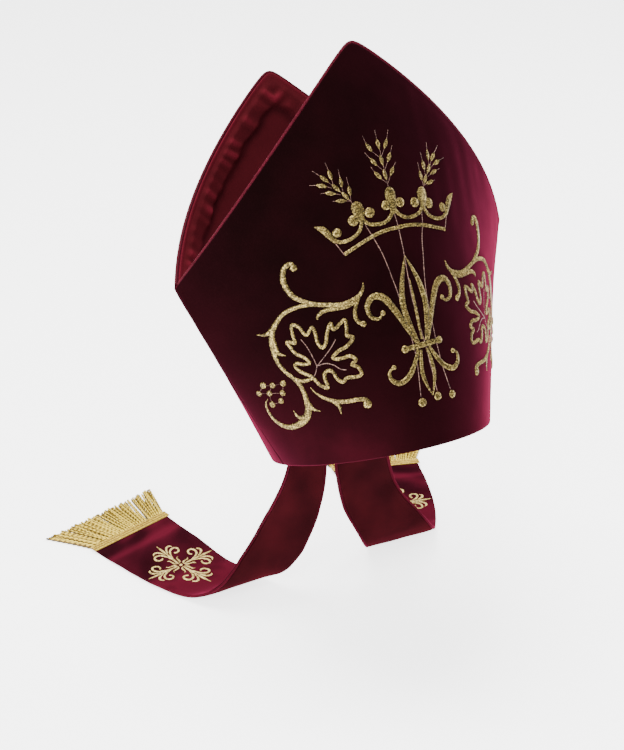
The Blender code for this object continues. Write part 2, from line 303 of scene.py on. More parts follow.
def mesh_value(nodes, name):
    """A value that the mesh holds for each of its points."""
    node = nodes.new("ShaderNodeAttribute")
    node.attribute_name = name
    return node.outputs["Fac"]


def add_scaled(nodes, links, value, factor, added):
    """A value times a factor, plus a number or another value."""
    math_node = nodes.new("ShaderNodeMath")
    math_node.operation = "MULTIPLY_ADD"
    math_node.inputs[1].default_value = factor
    links.new(value, math_node.inputs[0])
    if isinstance(added, float):
        math_node.inputs[2].default_value = added
    else:
        links.new(added, math_node.inputs[2])
    return math_node.outputs["Value"]


def add_bump(nodes, links, shader, value, strength, distance):
    bump = nodes.new("ShaderNodeBump")
    set_inputs(bump, {"Strength": strength, "Distance": distance})
    links.new(value, bump.inputs["Height"])
    links.new(bump.outputs["Normal"], shader.inputs["Normal"])


def cloth_material(cloth):
    made, nodes, links, shader = new_material(cloth.name)
    grain = shown = add_noise(nodes, links, cloth.grain)
    if cloth.clouds:
        clouds = add_noise(nodes, links, cloth.clouds)
        shown = add_scaled(nodes, links, clouds, cloth.cloud_share, mesh_value(nodes, "painted_light"))
    links.new(add_ramp(nodes, links, shown, cloth.stops), shader.inputs["Base Color"])
    add_bump(nodes, links, shader, grain, cloth.bump, cloth.bump_depth)
    set_inputs(shader, {
        "Roughness": cloth.roughness,
        "Specular IOR Level": cloth.gloss,
        "Sheen Weight": cloth.sheen,
        "Sheen Roughness": cloth.sheen_spread,
        "Sheen Tint": cloth.sheen_tint,
    })
    return made


def thread_material(thread):
    made, nodes, links, shader = new_material(thread.name)
    grain = add_noise(nodes, links, THREAD_GRAIN)
    base = THREAD_BASE - 0.5 * thread.speckle
    own = add_scaled(nodes, links, mesh_value(nodes, "thread"), THREAD_SHARE, base)
    shown = add_scaled(nodes, links, grain, thread.speckle, own)
    links.new(add_ramp(nodes, links, shown, thread.stops), shader.inputs["Base Color"])
    add_bump(nodes, links, shader, grain, THREAD_BUMP, THREAD_BUMP_DEPTH)
    set_inputs(shader, {"Roughness": thread.roughness, "Metallic": thread.metallic})
    return made


# Small helpers

def smooth_step(share):
    share = np.clip(share, 0.0, 1.0)
    return share * share * (3.0 - 2.0 * share)


def hill(value, middle, width):
    """1 at the middle, and less on both sides of it."""
    return np.exp(-((value - middle) / width) ** 2)


def tilted(points, way=1.0):
    """Upright points in the frame of the tilted mitre, or the other way round with way -1."""
    cos_t, sin_t = math.cos(BACKWARD_TILT), way * math.sin(BACKWARD_TILT)
    x, y, z = points[..., 0], points[..., 1], points[..., 2]
    return np.stack([x, y * cos_t + z * sin_t, z * cos_t - y * sin_t], -1)


def unit(vectors):
    return vectors / np.maximum(np.linalg.norm(vectors, axis=-1, keepdims=True), 1e-12)


def mirrored(points, side):
    return points * np.array([side, 1.0, 1.0])


def noise_at(points, scale, seed):
    """Smooth noise, about -1 to 1, at each point."""
    shape = points.shape[:-1]
    shift = Vector((seed, 2.0 * seed, 3.0 * seed))
    flat = points.reshape(-1, points.shape[-1]) / scale
    if flat.shape[1] == 2:
        flat = np.column_stack([flat, np.zeros(len(flat))])
    return np.array([noise.noise(Vector(p) + shift) for p in flat]).reshape(shape)


def make_object(name, points, faces, skin):
    mesh = bpy.data.meshes.new(name)
    mesh.from_pydata(np.asarray(points).tolist(), [], faces)
    body = bmesh.new()
    body.from_mesh(mesh)
    bmesh.ops.recalc_face_normals(body, faces=body.faces)
    body.to_mesh(mesh)
    body.free()
    mesh.shade_smooth()
    mesh.materials.append(skin)
    made = bpy.data.objects.new(name, mesh)
    bpy.context.scene.collection.objects.link(made)
    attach(made, "root")
    return made


def add_values(made, name, values):
    layer = made.data.attributes.new(name, "FLOAT", "POINT")
    layer.data.foreach_set("value", np.asarray(values, np.float32))


def add_painted_light(made, painted_light, beneath=None):
    """Painted light and shade on a shell, and beneath it: the same there, or one value."""
    if beneath is None:
        inside = painted_light[1:-1, 1:-1].ravel()
    else:
        inside = np.full(len(made.data.vertices) - painted_light.size, beneath)
    add_values(made, "painted_light", np.concatenate([painted_light.ravel(), inside]))


def quads(index):
    """Faces between the neighbours of a grid of point numbers."""
    corners = (index[:-1, :-1], index[:-1, 1:], index[1:, 1:], index[1:, :-1])
    return np.stack(corners, -1).reshape(-1, 4)


def shell(name, outer, inner, skin):
    """A closed wall between two grids of points whose borders are the same."""
    rows, columns = outer.shape[:2]
    index = np.arange(rows * columns).reshape(rows, columns)
    under = index.copy()
    inside = (rows - 2) * (columns - 2)
    under[1:-1, 1:-1] = rows * columns + np.arange(inside).reshape(rows - 2, columns - 2)
    points = np.concatenate([outer.reshape(-1, 3), inner[1:-1, 1:-1].reshape(-1, 3)])
    faces = np.concatenate([quads(index), quads(under)[:, ::-1]])
    return make_object(name, points, faces.tolist(), skin)


def bars(name, rings, skin, shades=None):
    """Many closed bars as one mesh. Each is an array of rings of points.

    shades holds values for each bar's rings, or its points, which the thread materials read.
    """
    points, faces, start = [], [], 0
    for ring in rings:
        steps, sides = ring.shape[:2]
        index = start + np.arange(steps * sides).reshape(steps, sides)
        around = np.concatenate([index, index[:, :1]], 1)
        faces += quads(around).tolist()
        faces.append(index[0, ::-1].tolist())
        faces.append(index[-1].tolist())
        points.append(ring.reshape(-1, 3))
        start += steps * sides
    made = make_object(name, np.concatenate(points), faces, skin)
    if shades is not None:
        full = [np.broadcast_to(shade.reshape(len(ring), -1), ring.shape[:2]).ravel()
                for shade, ring in zip(shades, rings)]
        add_values(made, "thread", np.concatenate(full))
    return made


CURVE_STEPS = 16


def curve_through(points, spacing):
    """A smooth line through points, in even steps of the way in their first two values."""
    points = np.asarray(points, float)
    before = np.concatenate([2 * points[:1] - points[1:2], points[:-1]])
    after = np.concatenate([points[1:], 2 * points[-1:] - points[-2:-1]])
    slope = (after - before) / 2
    t = np.linspace(0.0, 1.0, CURVE_STEPS + 1)[:-1, None]
    pieces = []
    for k in range(len(points) - 1):
        a, b = points[k], points[k + 1]
        pieces.append((2 * t**3 - 3 * t**2 + 1) * a + (t**3 - 2 * t**2 + t) * slope[k]
                      + (3 * t**2 - 2 * t**3) * b + (t**3 - t**2) * slope[k + 1])
    line = np.concatenate([*pieces, points[-1:]])
    lengths = np.linalg.norm(np.diff(line[:, :2], axis=0), axis=1)
    reach = np.concatenate([[0.0], np.cumsum(lengths)])
    count = max(int(round(reach[-1] / spacing)), 2)
    even = np.linspace(0.0, reach[-1], count + 1)
    return np.column_stack([np.interp(even, reach, column) for column in line.T])


def tube_rings(path, radius, sides, plies=0, depth=0.0, turns=0.0):
    """Rings round a line in space. plies, depth and turns twist it like a cord."""
    path = np.asarray(path, float)
    along = unit(np.gradient(path, axis=0))
    hint = np.array([0.0, 0.0, 1.0]) if abs(along[0, 2]) < 0.8 else np.array([1.0, 0.0, 0.0])
    side = unit(np.cross(hint, along[0]))
    sides_way = []
    for way in along:
        side = unit(side - way * side.dot(way))
        sides_way.append(side)
    first = np.array(sides_way)
    second = np.cross(along, first)
    angle = np.linspace(0.0, 2 * math.pi, sides, endpoint=False)[None, :]
    share = np.linspace(0.0, 1.0, len(path))[:, None]
    radius = np.broadcast_to(np.asarray(radius, float), (len(path),))[:, None]
    if plies:
        radius = radius * (1.0 + depth * np.cos(plies * (angle - 2 * math.pi * turns * share)))
    ring = first[:, None] * (np.cos(angle) * radius)[..., None]
    ring = ring + second[:, None] * (np.sin(angle) * radius)[..., None]
    return path[:, None] + ring


# The horns' shape, as the part has it

def half_width(height, inset=0.0):
    share = height / SIDE_HEIGHT
    ease = WIDENING_EASE * math.pi / 2
    widening = (SIDE_HALF_WIDTH - RIM_HALF_WIDTH) * np.sin(ease * share) / math.sin(ease)
    return RIM_HALF_WIDTH + widening - inset * (1.0 + SEAM_SLANT * np.minimum(share, 1.0))


def middle_depth(horn, height, inset=0.0):
    share = height / PEAK_HEIGHT
    lean = (horn.peak_depth - RIM_HALF_DEPTH) * share
    return RIM_HALF_DEPTH + lean + PANEL_BULGE * 4.0 * share * (1.0 - share) - inset


def arch(share, height):
    rise = np.sin(np.minimum(height / (SIDE_HEIGHT * ROUNDNESS_SETTLES), 1.0) * math.pi / 2)
    roundness = RIM_ROUNDNESS + (SIDE_ROUNDNESS - RIM_ROUNDNESS) * rise
    return np.maximum(1.0 - share * share, 0.0) ** (1.0 / roundness)


def horn_point(horn, share, height, inset=0.0):
    """Upright point of a skin, at a share of the half width."""
    across = half_width(height, inset) * share
    depth = middle_depth(horn, height, inset) * arch(share, height) + CLEARANCE / 2
    return np.stack(np.broadcast_arrays(across, horn.side * depth, height), -1)


def edge_height(share):
    soft = PEAK_ROUNDING / SIDE_HALF_WIDTH
    reach = (np.hypot(share, soft) - soft) / (math.hypot(1.0, soft) - soft)
    bow = 4.0 * EDGE_BOW / SIDE_HALF_WIDTH
    fall = (1.0 + bow - np.sqrt((1.0 + bow) ** 2 - 4.0 * bow * reach)) / (2.0 * bow)
    return PEAK_HEIGHT - (PEAK_HEIGHT - SIDE_HEIGHT) * fall


def column_point(horn, column, height, inset=0.0):
    top = edge_height(column)
    narrowing = (1.0 - SIDE_HALF_WIDTH / half_width(top)) * (height / top) ** 2
    return horn_point(horn, column * (1.0 - narrowing), height, inset)


def fold_height(share):
    return SIDE_HEIGHT - LINING_SAG * (1.0 - share * share)


# Waves, ripples and streaks of the velvet: a smaller stretch makes them longer upward
Wave = namedtuple("Wave", "rise stretch size seed")
RELIEF = (
    Wave(0.0007, 0.55, 0.045, 0.0),
    Wave(0.00022, 1.0, 0.014, 7.0),
    Wave(0.0006, 0.16, 0.011, 3.0),
)


def relief(horn, x, z):
    """How far the stiffened velvet stands out at an upright place: waves, ripples and streaks."""
    place = np.stack(np.broadcast_arrays(x, z, 0.0 * x), -1)
    seed = 3.0 + horn.side
    slow, fine, streaks = (
        wave.rise * noise_at(place * [1.0, wave.stretch, 1.0], wave.size, seed + wave.seed)
        for wave in RELIEF)
    streaks = streaks * smooth_step((x - 0.01) / 0.05) * smooth_step((z - 0.12) / 0.09)
    below = edge_height(np.clip(x / SIDE_HALF_WIDTH, -1.0, 1.0)) - z
    return (slow + fine + streaks) * smooth_step(z / 0.02) * smooth_step(below / 0.014)


def panel_painted_light(x, z):
    """Painted light at an upright place: lighter near the rim and toward the sides, where floor and lamps
    light it.
    """
    share = x / half_width(z)
    left, right = smooth_step((-share - 0.55) / 0.45), smooth_step((share - 0.4) / 0.55)
    low = (1.0 - smooth_step(z / 0.1)) * (1.0 - 0.7 * hill(share, 0.0, 0.38))
    low = low * (1.0 - 0.2 * left)
    left = left * smooth_step(z / 0.07)
    return np.clip(0.4 * low + 0.13 * left + 0.2 * right, 0.0, 1.0)


# Velvet panels

# Points across and along a cloth, and the share that each of its borders takes
Grid = namedtuple("Grid", "across side_border along end_border")
BORDER = np.array([0.0, 0.03, 0.13, 0.30, 0.55, 0.85])
PANEL_ACROSS = 144
PANEL_ALONG = 104
PANEL_SIDE_BORDER = 0.008
PANEL_CROWDING = 1.25
# The value of the painted light on the panels' hidden inner side
PANEL_INSIDE_PAINTED_LIGHT = 0.9


def crowded(count, border, power=1.0):
    """Shares from 0 to 1 with a few more near the ends, at the border's places."""
    inner = np.linspace(-1.0, 1.0, count)
    inner = np.sign(inner) * np.abs(inner) ** power
    inner = border[-1] * 1.7 + (1.0 - 3.4 * border[-1]) * (inner + 1.0) / 2
    return np.concatenate([border, inner, 1.0 - border[::-1]])


def places_on(grid):
    """Places from -1 to 1 across a cloth, and from 0 to 1 along it."""
    across = 2.0 * crowded(grid.across, BORDER * grid.side_border) - 1.0
    return np.meshgrid(across, crowded(grid.along, BORDER * grid.end_border))


def roundness(distance, radius):
    """0 at a border and 1 beyond a radius from it, like the side of a circle."""
    near = np.clip(1.0 - distance / radius, 0.0, 1.0)
    return np.sqrt(1.0 - near * near)


def add_panel(horn, velvet):
    half_wall = PANEL_WALL / 2
    across = 2.0 * crowded(PANEL_ACROSS, BORDER * PANEL_SIDE_BORDER, PANEL_CROWDING) - 1.0
    along = crowded(PANEL_ALONG, BORDER * half_wall / SIDE_HEIGHT)
    u, v = np.meshgrid(across, along)
    top = edge_height(u)
    height = top * v
    low = np.sin(u * math.pi / 2)
    high = u * SIDE_HALF_WIDTH / half_width(top)
    share = low + (high - low) * smooth_step(v)
    middle = horn_point(horn, share, height, half_wall)
    from_seam = np.abs(middle[..., 1]) - CLEARANCE / 2
    roll = roundness(from_seam, half_wall)
    roll = roll * roundness(height, half_wall) * roundness(top - height, half_wall)
    wave = relief(horn, middle[..., 0], height)
    outer, inner = (tilted(horn_point(horn, share, height, half_wall * (1.0 + way * roll) - wave))
                    for way in (-1.0, 1.0))
    made = shell(horn.name + "_velvet", outer, inner, velvet)
    # Painted light: the velvet lighter near the rim and toward the sides
    add_painted_light(made, panel_painted_light(middle[..., 0], height), PANEL_INSIDE_PAINTED_LIGHT)
    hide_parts(horn.name + "_panel")


# Piping along the horns' edges, and the bound side seams

PIPING_STEPS = 260
PIPING_TURNS = 60.0
PIPING_CROWDING = 1.35
PIPING_END_RADII = (0.3, 0.8)
SEAM_CORD_RADIUS = 0.0007
SEAM_CORD_STEPS = 90
SEAM_CORD_TURNS = 30.0
SEAM_CORD_ENDS = (0.0012, SIDE_HEIGHT - 0.004)
SEAM_CORD_INSET = 0.00015
SEAM_CORD_LEAN = 0.00065


def edge_middle(horn, column):
    return column_point(horn, column, edge_height(column), PANEL_WALL / 2)


def piping_path(horn, steps):
    needed = (CLEARANCE + 1.5 * PIPING_RADIUS) / middle_depth(BACK, SIDE_HEIGHT)
    reach = math.sqrt(1.0 - needed ** SIDE_ROUNDNESS)
    across = np.linspace(-1.0, 1.0, steps)
    column = np.sign(across) * np.sin(np.abs(across) ** PIPING_CROWDING * math.pi / 2) * reach
    nudge = 0.001
    along = unit(edge_middle(horn, column + nudge) - edge_middle(horn, column - nudge))
    height = edge_height(column)
    through = column_point(horn, column, height) - column_point(horn, column, height, PANEL_WALL)
    outward = unit(np.cross(through, along))
    outward = outward * np.sign(outward[:, 2:3])
    return edge_middle(horn, column) + outward * (PIPING_RADIUS - CLEARANCE)


def add_piping(horn, cord):
    path = tilted(piping_path(horn, PIPING_STEPS))
    radius = np.full(len(path), PIPING_RADIUS)
    for place, share in enumerate(PIPING_END_RADII):
        radius[[place, -1 - place]] *= share
    rings = tube_rings(path, radius, sides=12, plies=2, depth=0.05, turns=PIPING_TURNS)
    made = bars(horn.name + "_cord", [rings], cord)
    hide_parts(horn.name + "_piping")


def add_seam_cord(side_name, side, cord):
    """A cord inside, along the gap where the two panels meet."""
    height = np.linspace(*SEAM_CORD_ENDS, SEAM_CORD_STEPS)
    inset = PANEL_WALL + SEAM_CORD_INSET + SEAM_CORD_LEAN * height / SIDE_HEIGHT
    path = np.stack([side * half_width(height, inset), 0.0 * height, height], -1)
    rings = tube_rings(tilted(path), SEAM_CORD_RADIUS, sides=10, plies=2, depth=0.04,
                       turns=SEAM_CORD_TURNS)
    bars(side_name + "_seam_cord", [rings], cord)


# Satin lining of the crown

def lining_point(column, up, skin, pucker=0.0):
    turned = np.abs(up) * math.pi / 2
    outward = np.sin(turned) ** (2.0 / LINING_HUG)
    risen = 1.0 - np.cos(turned) ** (2.0 / LINING_HUG)
    low = fold_height(column) - LINING_WALL * (1.0 - skin)
    height = low + (edge_height(column) - low) * risen
    inset = PANEL_WALL + CLEARANCE + LINING_WALL * skin + pucker
    front = column_point(FRONT, column, height, inset)
    back = column_point(BACK, column, height, inset)
    point = np.where((up < 0)[..., None], front, back)
    point[..., 1] *= outward
    return point


LINING_ACROSS = 168
LINING_SIDE_BORDER = 0.004
LINING_SIDE_ROLL = 0.006
LINING_CROWDING = 1.2
LINING_ROLL = 0.0006
FOLD_REACH = 0.5
FOLD_ROWS = 18
WALL_ROWS = 40
WALL_MIDDLE = 0.78
WALL_TOP = 0.994
# The slant of the horns' edge
EDGE_ACROSS = 0.69
EDGE_UP = 0.72
# The puckered strip: where it starts and ends, from the edge
STRIP_NEAR = 0.003
STRIP_FAR = 0.018
PUCKER_SPACING = 0.0115
STRIP_PADDING = 0.0012
PUCKER_RISE = 0.0019
STITCH_LINE_DEPTH = 0.0002
LINING_LOOSENESS = 0.0008


def lining_rows():
    """Shares up one wall of the lining from its fold, closer together near the top."""
    outward = np.linspace(0.0, FOLD_REACH, FOLD_ROWS)[:-1]
    fold = np.arcsin(outward ** (LINING_HUG / 2)) / (math.pi / 2)
    first = 1.0 - math.cos(math.asin(FOLD_REACH ** (LINING_HUG / 2))) ** (2.0 / LINING_HUG)
    top = 1.0 - LINING_ROLL / SIDE_HEIGHT * BORDER[::-1]
    low = np.linspace(first, WALL_MIDDLE, WALL_ROWS)[:-1]
    risen = np.concatenate([low, np.linspace(WALL_MIDDLE, WALL_TOP, WALL_ROWS), top])
    wall = np.arccos((1.0 - risen) ** (LINING_HUG / 2)) / (math.pi / 2)
    return np.concatenate([fold, wall])


def add_crown_lining(satin):
    """Along the edge a padded strip with puckers across it, and smooth cloth beyond."""
    across = 2.0 * crowded(LINING_ACROSS, BORDER * LINING_SIDE_BORDER) - 1.0
    rows = lining_rows()
    u, w = np.meshgrid(across, np.concatenate([-rows[:0:-1], rows]))
    column = np.sign(u) * np.sin(np.abs(u) ** LINING_CROWDING * math.pi / 2)
    column = column * math.sin(LINING_REACH ** PIPING_CROWDING * math.pi / 2)
    base = lining_point(column, w, 0.5 + 0.0 * w)
    below = edge_height(column) - base[..., 2]
    roll = roundness(below, LINING_ROLL) * roundness(1.0 - np.abs(u), LINING_SIDE_ROLL)
    from_edge = below * EDGE_UP
    on_edge = base[..., 2] * EDGE_UP - np.abs(base[..., 0]) * EDGE_ACROSS
    sway = 4.4 * noise_at(base, 0.032, 8.0)
    puckers = 0.5 + 0.5 * np.sin(on_edge * 2 * math.pi / PUCKER_SPACING + sway)
    puckers = puckers * np.clip(0.55 + 1.2 * noise_at(base, 0.019, 21.0), 0.05, 1.2)
    ragged = 0.003 * noise_at(base, 0.014, 31.0)
    strip = smooth_step((from_edge - STRIP_NEAR) / 0.005)
    strip = strip * (1.0 - smooth_step((from_edge - STRIP_FAR + ragged) / 0.004))
    soft = noise_at(base * [1.0, 1.0, 0.5], 0.03, 5.0) * 0.5 + 0.5
    pucker = strip * (STRIP_PADDING + PUCKER_RISE * puckers)
    pucker = pucker - STITCH_LINE_DEPTH * hill(from_edge, STRIP_NEAR, 0.0012)
    pucker = pucker + LINING_LOOSENESS * soft * smooth_step((from_edge - STRIP_FAR) / 0.02)
    outer, inner = (tilted(lining_point(column, w, 0.5 + way * roll, pucker)) for way in (-0.5, 0.5))
    made = shell("crown_satin", outer, inner, satin)
    # Painted light: painted highlights on the puckers' ridges and along the edge, a painted shadow just
    # past the strip's inner border, and painted light on the strip near the side points
    painted_light = 0.2 + strip * (0.3 * puckers - 0.02) + 0.25 * hill(from_edge, 0.0, 0.0035)
    painted_light = painted_light - 0.2 * hill(from_edge - STRIP_FAR + ragged, 0.0045, 0.0036)
    painted_light = painted_light + 0.26 * strip * smooth_step((np.abs(column) - 0.84) / 0.1)
    add_painted_light(made, painted_light)
    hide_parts("crown_lining")


# Lappets

LAPPET_THICKNESS = LAPPET_LINING_WALL + CLEARANCE + LAPPET_WALL


def section_at(along, column):
    along = np.clip(along, 0.0, 1.0)
    places = np.array([row.along for row in LAPPET_SECTIONS])
    values = np.array([getattr(row, column) for row in LAPPET_SECTIONS])
    last = len(places) - 1
    lower = np.clip(np.searchsorted(places, along, "right") - 1, 0, last - 1)
    upper = lower + 1
    before = np.maximum(lower - 1, 0)
    after = np.minimum(lower + 2, last)
    span = places[upper] - places[lower]
    share = (along - places[lower]) / span
    slope_a = (values[upper] - values[before]) / (places[upper] - places[before])
    slope_b = (values[after] - values[lower]) / (places[after] - places[lower])
    bent = share * (1.0 - share) * span
    value = values[lower] + (values[upper] - values[lower]) * smooth_step(share)
    return value + bent * ((1.0 - share) * slope_a - share * slope_b)


def tucked_point(across, height, offset):
    inset = PANEL_WALL + CLEARANCE + LAPPET_THICKNESS - offset
    share = across / half_width(height, inset)
    return tilted(horn_point(BACK, share, height, inset))


def lappet_middle_at_rim():
    return section_at(0.0, "out") * LAPPET_SPREAD


def lappet_run():
    rim = tucked_point(lappet_middle_at_rim(), 0.0, 0.0)
    straight = SURFACE_DROP + rim[2] - LAPPET_BEND
    return straight + LAPPET_BEND * math.pi / 2 + LAPPET_LIE


LAPPET_RUN = lappet_run()
BEND_RUN = LAPPET_BEND * math.pi / 2
HANG_RUN = LAPPET_RUN - LAPPET_LIE - BEND_RUN


def lappet_half_width(run):
    return section_at(run / LAPPET_RUN, "width") * LAPPET_WIDTH / 2


def lappet_point(across, run, offset, margin=0.0):
    """Points of the right lappet's cloth: across from -1, its outer edge, to 1."""
    across, run, offset = np.broadcast_arrays(across, run, offset)
    half = lappet_half_width(run) - margin
    x = section_at(run / LAPPET_RUN, "out") * LAPPET_SPREAD - across * half
    tucked = tucked_point(x, np.maximum(-run, 0.0), offset)
    rim = tucked_point(lappet_middle_at_rim(), 0.0 * run, offset)
    here = tucked_point(x, 0.0 * run, offset)
    face_y = float(tucked_point(lappet_middle_at_rim(), 0.0, 0.0)[1])
    angle = np.clip((run - HANG_RUN) / LAPPET_BEND, 0.0, math.pi / 2)
    beyond = np.maximum(run - HANG_RUN - BEND_RUN, 0.0)
    above = np.maximum(HANG_RUN - run, 0.0)
    y = face_y + LAPPET_BEND - (LAPPET_BEND - offset) * np.cos(angle) + beyond
    z = LAPPET_BEND - SURFACE_DROP - (LAPPET_BEND - offset) * np.sin(angle) + above
    hugging = 1.0 - smooth_step(run / LAPPET_SETTLE)
    y = y + (here[..., 1] - rim[..., 1]) * hugging
    z = z + (here[..., 2] - rim[..., 2]) * hugging
    turned = smooth_step(beyond / LAPPET_LIE)
    y = y + across * half / (LAPPET_WIDTH / 2) * LAPPET_TURN / 2 * turned
    free = np.stack([x, y, z], -1)
    return np.where((run < 0)[..., None], tucked, free)


SLOW_WAVE = 0.0034
FINE_WAVE = 0.0008


def lappet_wave(across, run, side):
    """How far the cloth lifts off its lie in soft slanting waves, none near its ends."""
    place = np.stack(np.broadcast_arrays(run - 0.012 * across, 0.03 * across, 0.0 * run), -1)
    slow = noise_at(place * [1.0, 0.6, 1.0], 0.03, 11.0 + side) * 0.5 + 0.5
    fine = noise_at(place * [1.0, 0.8, 1.0], 0.012, 17.0 + side) * 0.5 + 0.5
    room = smooth_step((run - 0.03) / 0.05) * (1.0 - smooth_step((run - LAPPET_RUN + 0.05) / 0.035))
    return (SLOW_WAVE * slow ** 2 + FINE_WAVE * fine) * room


VELVET_GRID = Grid(54, 0.018, 196, 0.004)
LINING_GRID = Grid(40, 0.01, 166, 0.002)


def lappet_grid(grid, length):
    """Places across and along a lappet, from its tuck to a length."""
    u, v = places_on(grid)
    return u, -LAPPET_TUCK + (length + LAPPET_TUCK) * v


def lappet_shell(name, side, u, run, heights, skin, margin=0.0):
    """A wall that follows the lappet, between two heights over its face."""
    outer, inner = (mirrored(lappet_point(u, run, height, margin), side) for height in heights)
    return shell(name, outer, inner, skin)


WRAP_WIDTH = 0.0022
PAINTED_FOLD_SPACING = 0.017
# The value of the painted light on the velvet's underside
LAPPET_INSIDE_PAINTED_LIGHT = 0.6
# How far from the lappet's end lie the painted highlight, the painted shade, and the start of the painted
# sheen toward the bend
HIGHLIGHT_BY_FRINGE = 0.029
SHADED_BY_FRINGE = 0.017
NEAR_BEND = 0.078


def lappet_painted_light(u, run, side):
    """Painted light on the lying velvet: patches, highlight and shade by the fringe, sheen and folds by
    the bend.
    """
    lying = smooth_step((run - HANG_RUN + 0.01) / BEND_RUN)
    patches = noise_at(np.stack([run - 0.03 * u, 0.02 * u], -1), 0.022, 5.0 + side)
    from_fringe = LAPPET_RUN - run + 0.003 * u
    painted_highlight = hill(from_fringe, HIGHLIGHT_BY_FRINGE, 0.0048)
    shaded = hill(from_fringe, SHADED_BY_FRINGE, 0.005)
    near_bend = smooth_step((from_fringe - NEAR_BEND) / 0.03)
    painted_folds = np.sin((run + 0.02 * u) * 2 * math.pi / PAINTED_FOLD_SPACING + 5.0 * patches) * near_bend
    painted_light = 0.46 + 0.55 * patches + 0.32 * painted_highlight - 0.2 * shaded + 0.5 * near_bend + 0.07 * painted_folds
    return np.clip(lying * painted_light, 0.0, 1.0)


def add_lappet_velvet(side_name, side, velvet):
    """The velvet, wrapped round the lining's edge."""
    half_thick = LAPPET_THICKNESS / 2
    u, run = lappet_grid(VELVET_GRID, LAPPET_RUN)
    from_side = (1.0 - np.abs(u)) * lappet_half_width(run)
    from_end = np.minimum(LAPPET_RUN - run, run + LAPPET_TUCK)
    roll = roundness(from_side, half_thick) * roundness(from_end, half_thick)
    wave = lappet_wave(u, run, side)
    wrap = 1.0 - smooth_step((np.minimum(from_side, from_end) - WRAP_WIDTH) / 0.0006)
    under = (LAPPET_LINING_WALL + CLEARANCE) * (1.0 - wrap)
    under = np.maximum(under, half_thick * (1.0 - roll))
    heights = (half_thick * (1.0 + roll) + wave, under + wave)
    made = lappet_shell(side_name + "_lappet_velvet", side, u, run, heights, velvet)
    # Painted light on the velvet where it lies on the surface
    add_painted_light(made, lappet_painted_light(u, run, side), LAPPET_INSIDE_PAINTED_LIGHT)
    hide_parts(side_name + "_lappet")
    return made


LINING_INSET_SHARE = 0.93
LAPPET_LINING_ROLL = 0.0005


def add_lappet_lining(side_name, side, satin):
    length = LAPPET_RUN - LAPPET_LINING_MARGIN
    u, run = lappet_grid(LINING_GRID, length)
    from_side = (1.0 - np.abs(u)) * lappet_half_width(0.0)
    from_end = np.minimum(length - run, run + LAPPET_TUCK)
    roll = roundness(from_side, LAPPET_LINING_ROLL) * roundness(from_end, LAPPET_LINING_ROLL)
    wave = lappet_wave(u * LINING_INSET_SHARE, run, side)
    heights = [LAPPET_LINING_WALL / 2 * (1.0 + way * roll) + wave for way in (1.0, -1.0)]
    made = lappet_shell(side_name + "_lappet_satin", side, u, run, heights, satin,
                        LAPPET_LINING_MARGIN)
    # Painted shade: the lappets' satin darker than the crown's, with patches
    patches = noise_at(np.stack([run - 0.02 * u, 0.02 * u], -1), 0.03, 3.0 + side)
    add_painted_light(made, 0.02 + 0.16 * patches)
    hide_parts(side_name + "_lappet_lining")
    return made


CUT_STEPS = 400


def declare_lappet(cloth, lining, trimmings):
    """Widths of the flat cuts along their run, narrower toward the rim and the lining smaller all round;
    worked out, not used.
    """
    for made, margin, pieces in ((cloth, 0.0, trimmings), (lining, LAPPET_LINING_MARGIN, [])):
        run = np.linspace(-LAPPET_TUCK, LAPPET_RUN - margin, CUT_STEPS)
        width = 2 * lappet_half_width(run) - 2 * margin
        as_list(pieces)


# Gold heading and fringe at the lappets' ends

HEADING_GRID = Grid(180, 0.004, 24, 0.03)
HEADING_ROWS = 3
HEADING_LOOPS = 240.0
HEADING_SLANT = 16.0
HEADING_ROLL = 0.0006


def add_heading(side_name, side, gold):
    """A woven band: rows of slanting loops that meet in ridges."""
    u, v = places_on(HEADING_GRID)
    roll = roundness((1.0 - np.abs(u)) * LAPPET_WIDTH / 2, HEADING_ROLL)
    roll = roll * roundness(np.minimum(v, 1.0 - v) * HEADING_LENGTH, HEADING_ROLL)
    run = LAPPET_RUN - HEADING_LENGTH * (1.0 - v)
    ridges = np.abs(np.sin(v * math.pi * HEADING_ROWS))
    slant = np.where(np.floor(v * HEADING_ROWS) % 2 == 0, 1.0, -1.0)
    loops = 0.5 + 0.5 * np.cos(u * HEADING_LOOPS + slant * v * HEADING_SLANT)
    high = HEADING_WALL * (0.35 + 0.65 * ridges * (0.55 + 0.45 * loops))
    low = LAPPET_THICKNESS + CLEARANCE
    middle = HEADING_WALL / 2 * 0.6
    heights = (low + middle + (high - middle) * roll, low + middle * (1.0 - roll))
    made = lappet_shell(side_name + "_braid", side, u, run, heights, gold,
                        -HEADING_OVERHANG)
    # Painted light: the band lighter on its ridges and loops, darker in the grooves between them
    shades = np.full(len(made.data.vertices), 0.5)
    shades[:loops.size] = 0.15 + 0.95 * (ridges * (0.5 + 0.5 * loops)).ravel()
    add_values(made, "thread", shades)
    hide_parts(side_name + "_heading")
    return made


def fringe_frame():
    outer = lappet_point(-1.0, LAPPET_RUN, 0.0)
    inner = lappet_point(1.0, LAPPET_RUN, 0.0)
    across = inner - outer
    ahead = unit(np.cross([0.0, 0.0, 1.0], across))
    ahead = ahead * np.sign(ahead[1])
    return (outer + inner) / 2, across, ahead


FRINGE_LAYERS = 3
STRANDS = 36
STRAND_RADIUS = 0.001
STRAND_STEPS = 38
STRAND_SIDES = 8
STRAND_TWIST = 0.0048
STRAND_GROOVE = 0.26
STRAND_JITTER = 0.0003
STRAND_LEAN = 0.012
STRAND_LENGTHS = (0.88, 0.98)
STRAND_BEND = 0.0005
STRAND_BEND_TURNS = (0.8, 1.8)
STRAND_DROP_SHARE = 0.35


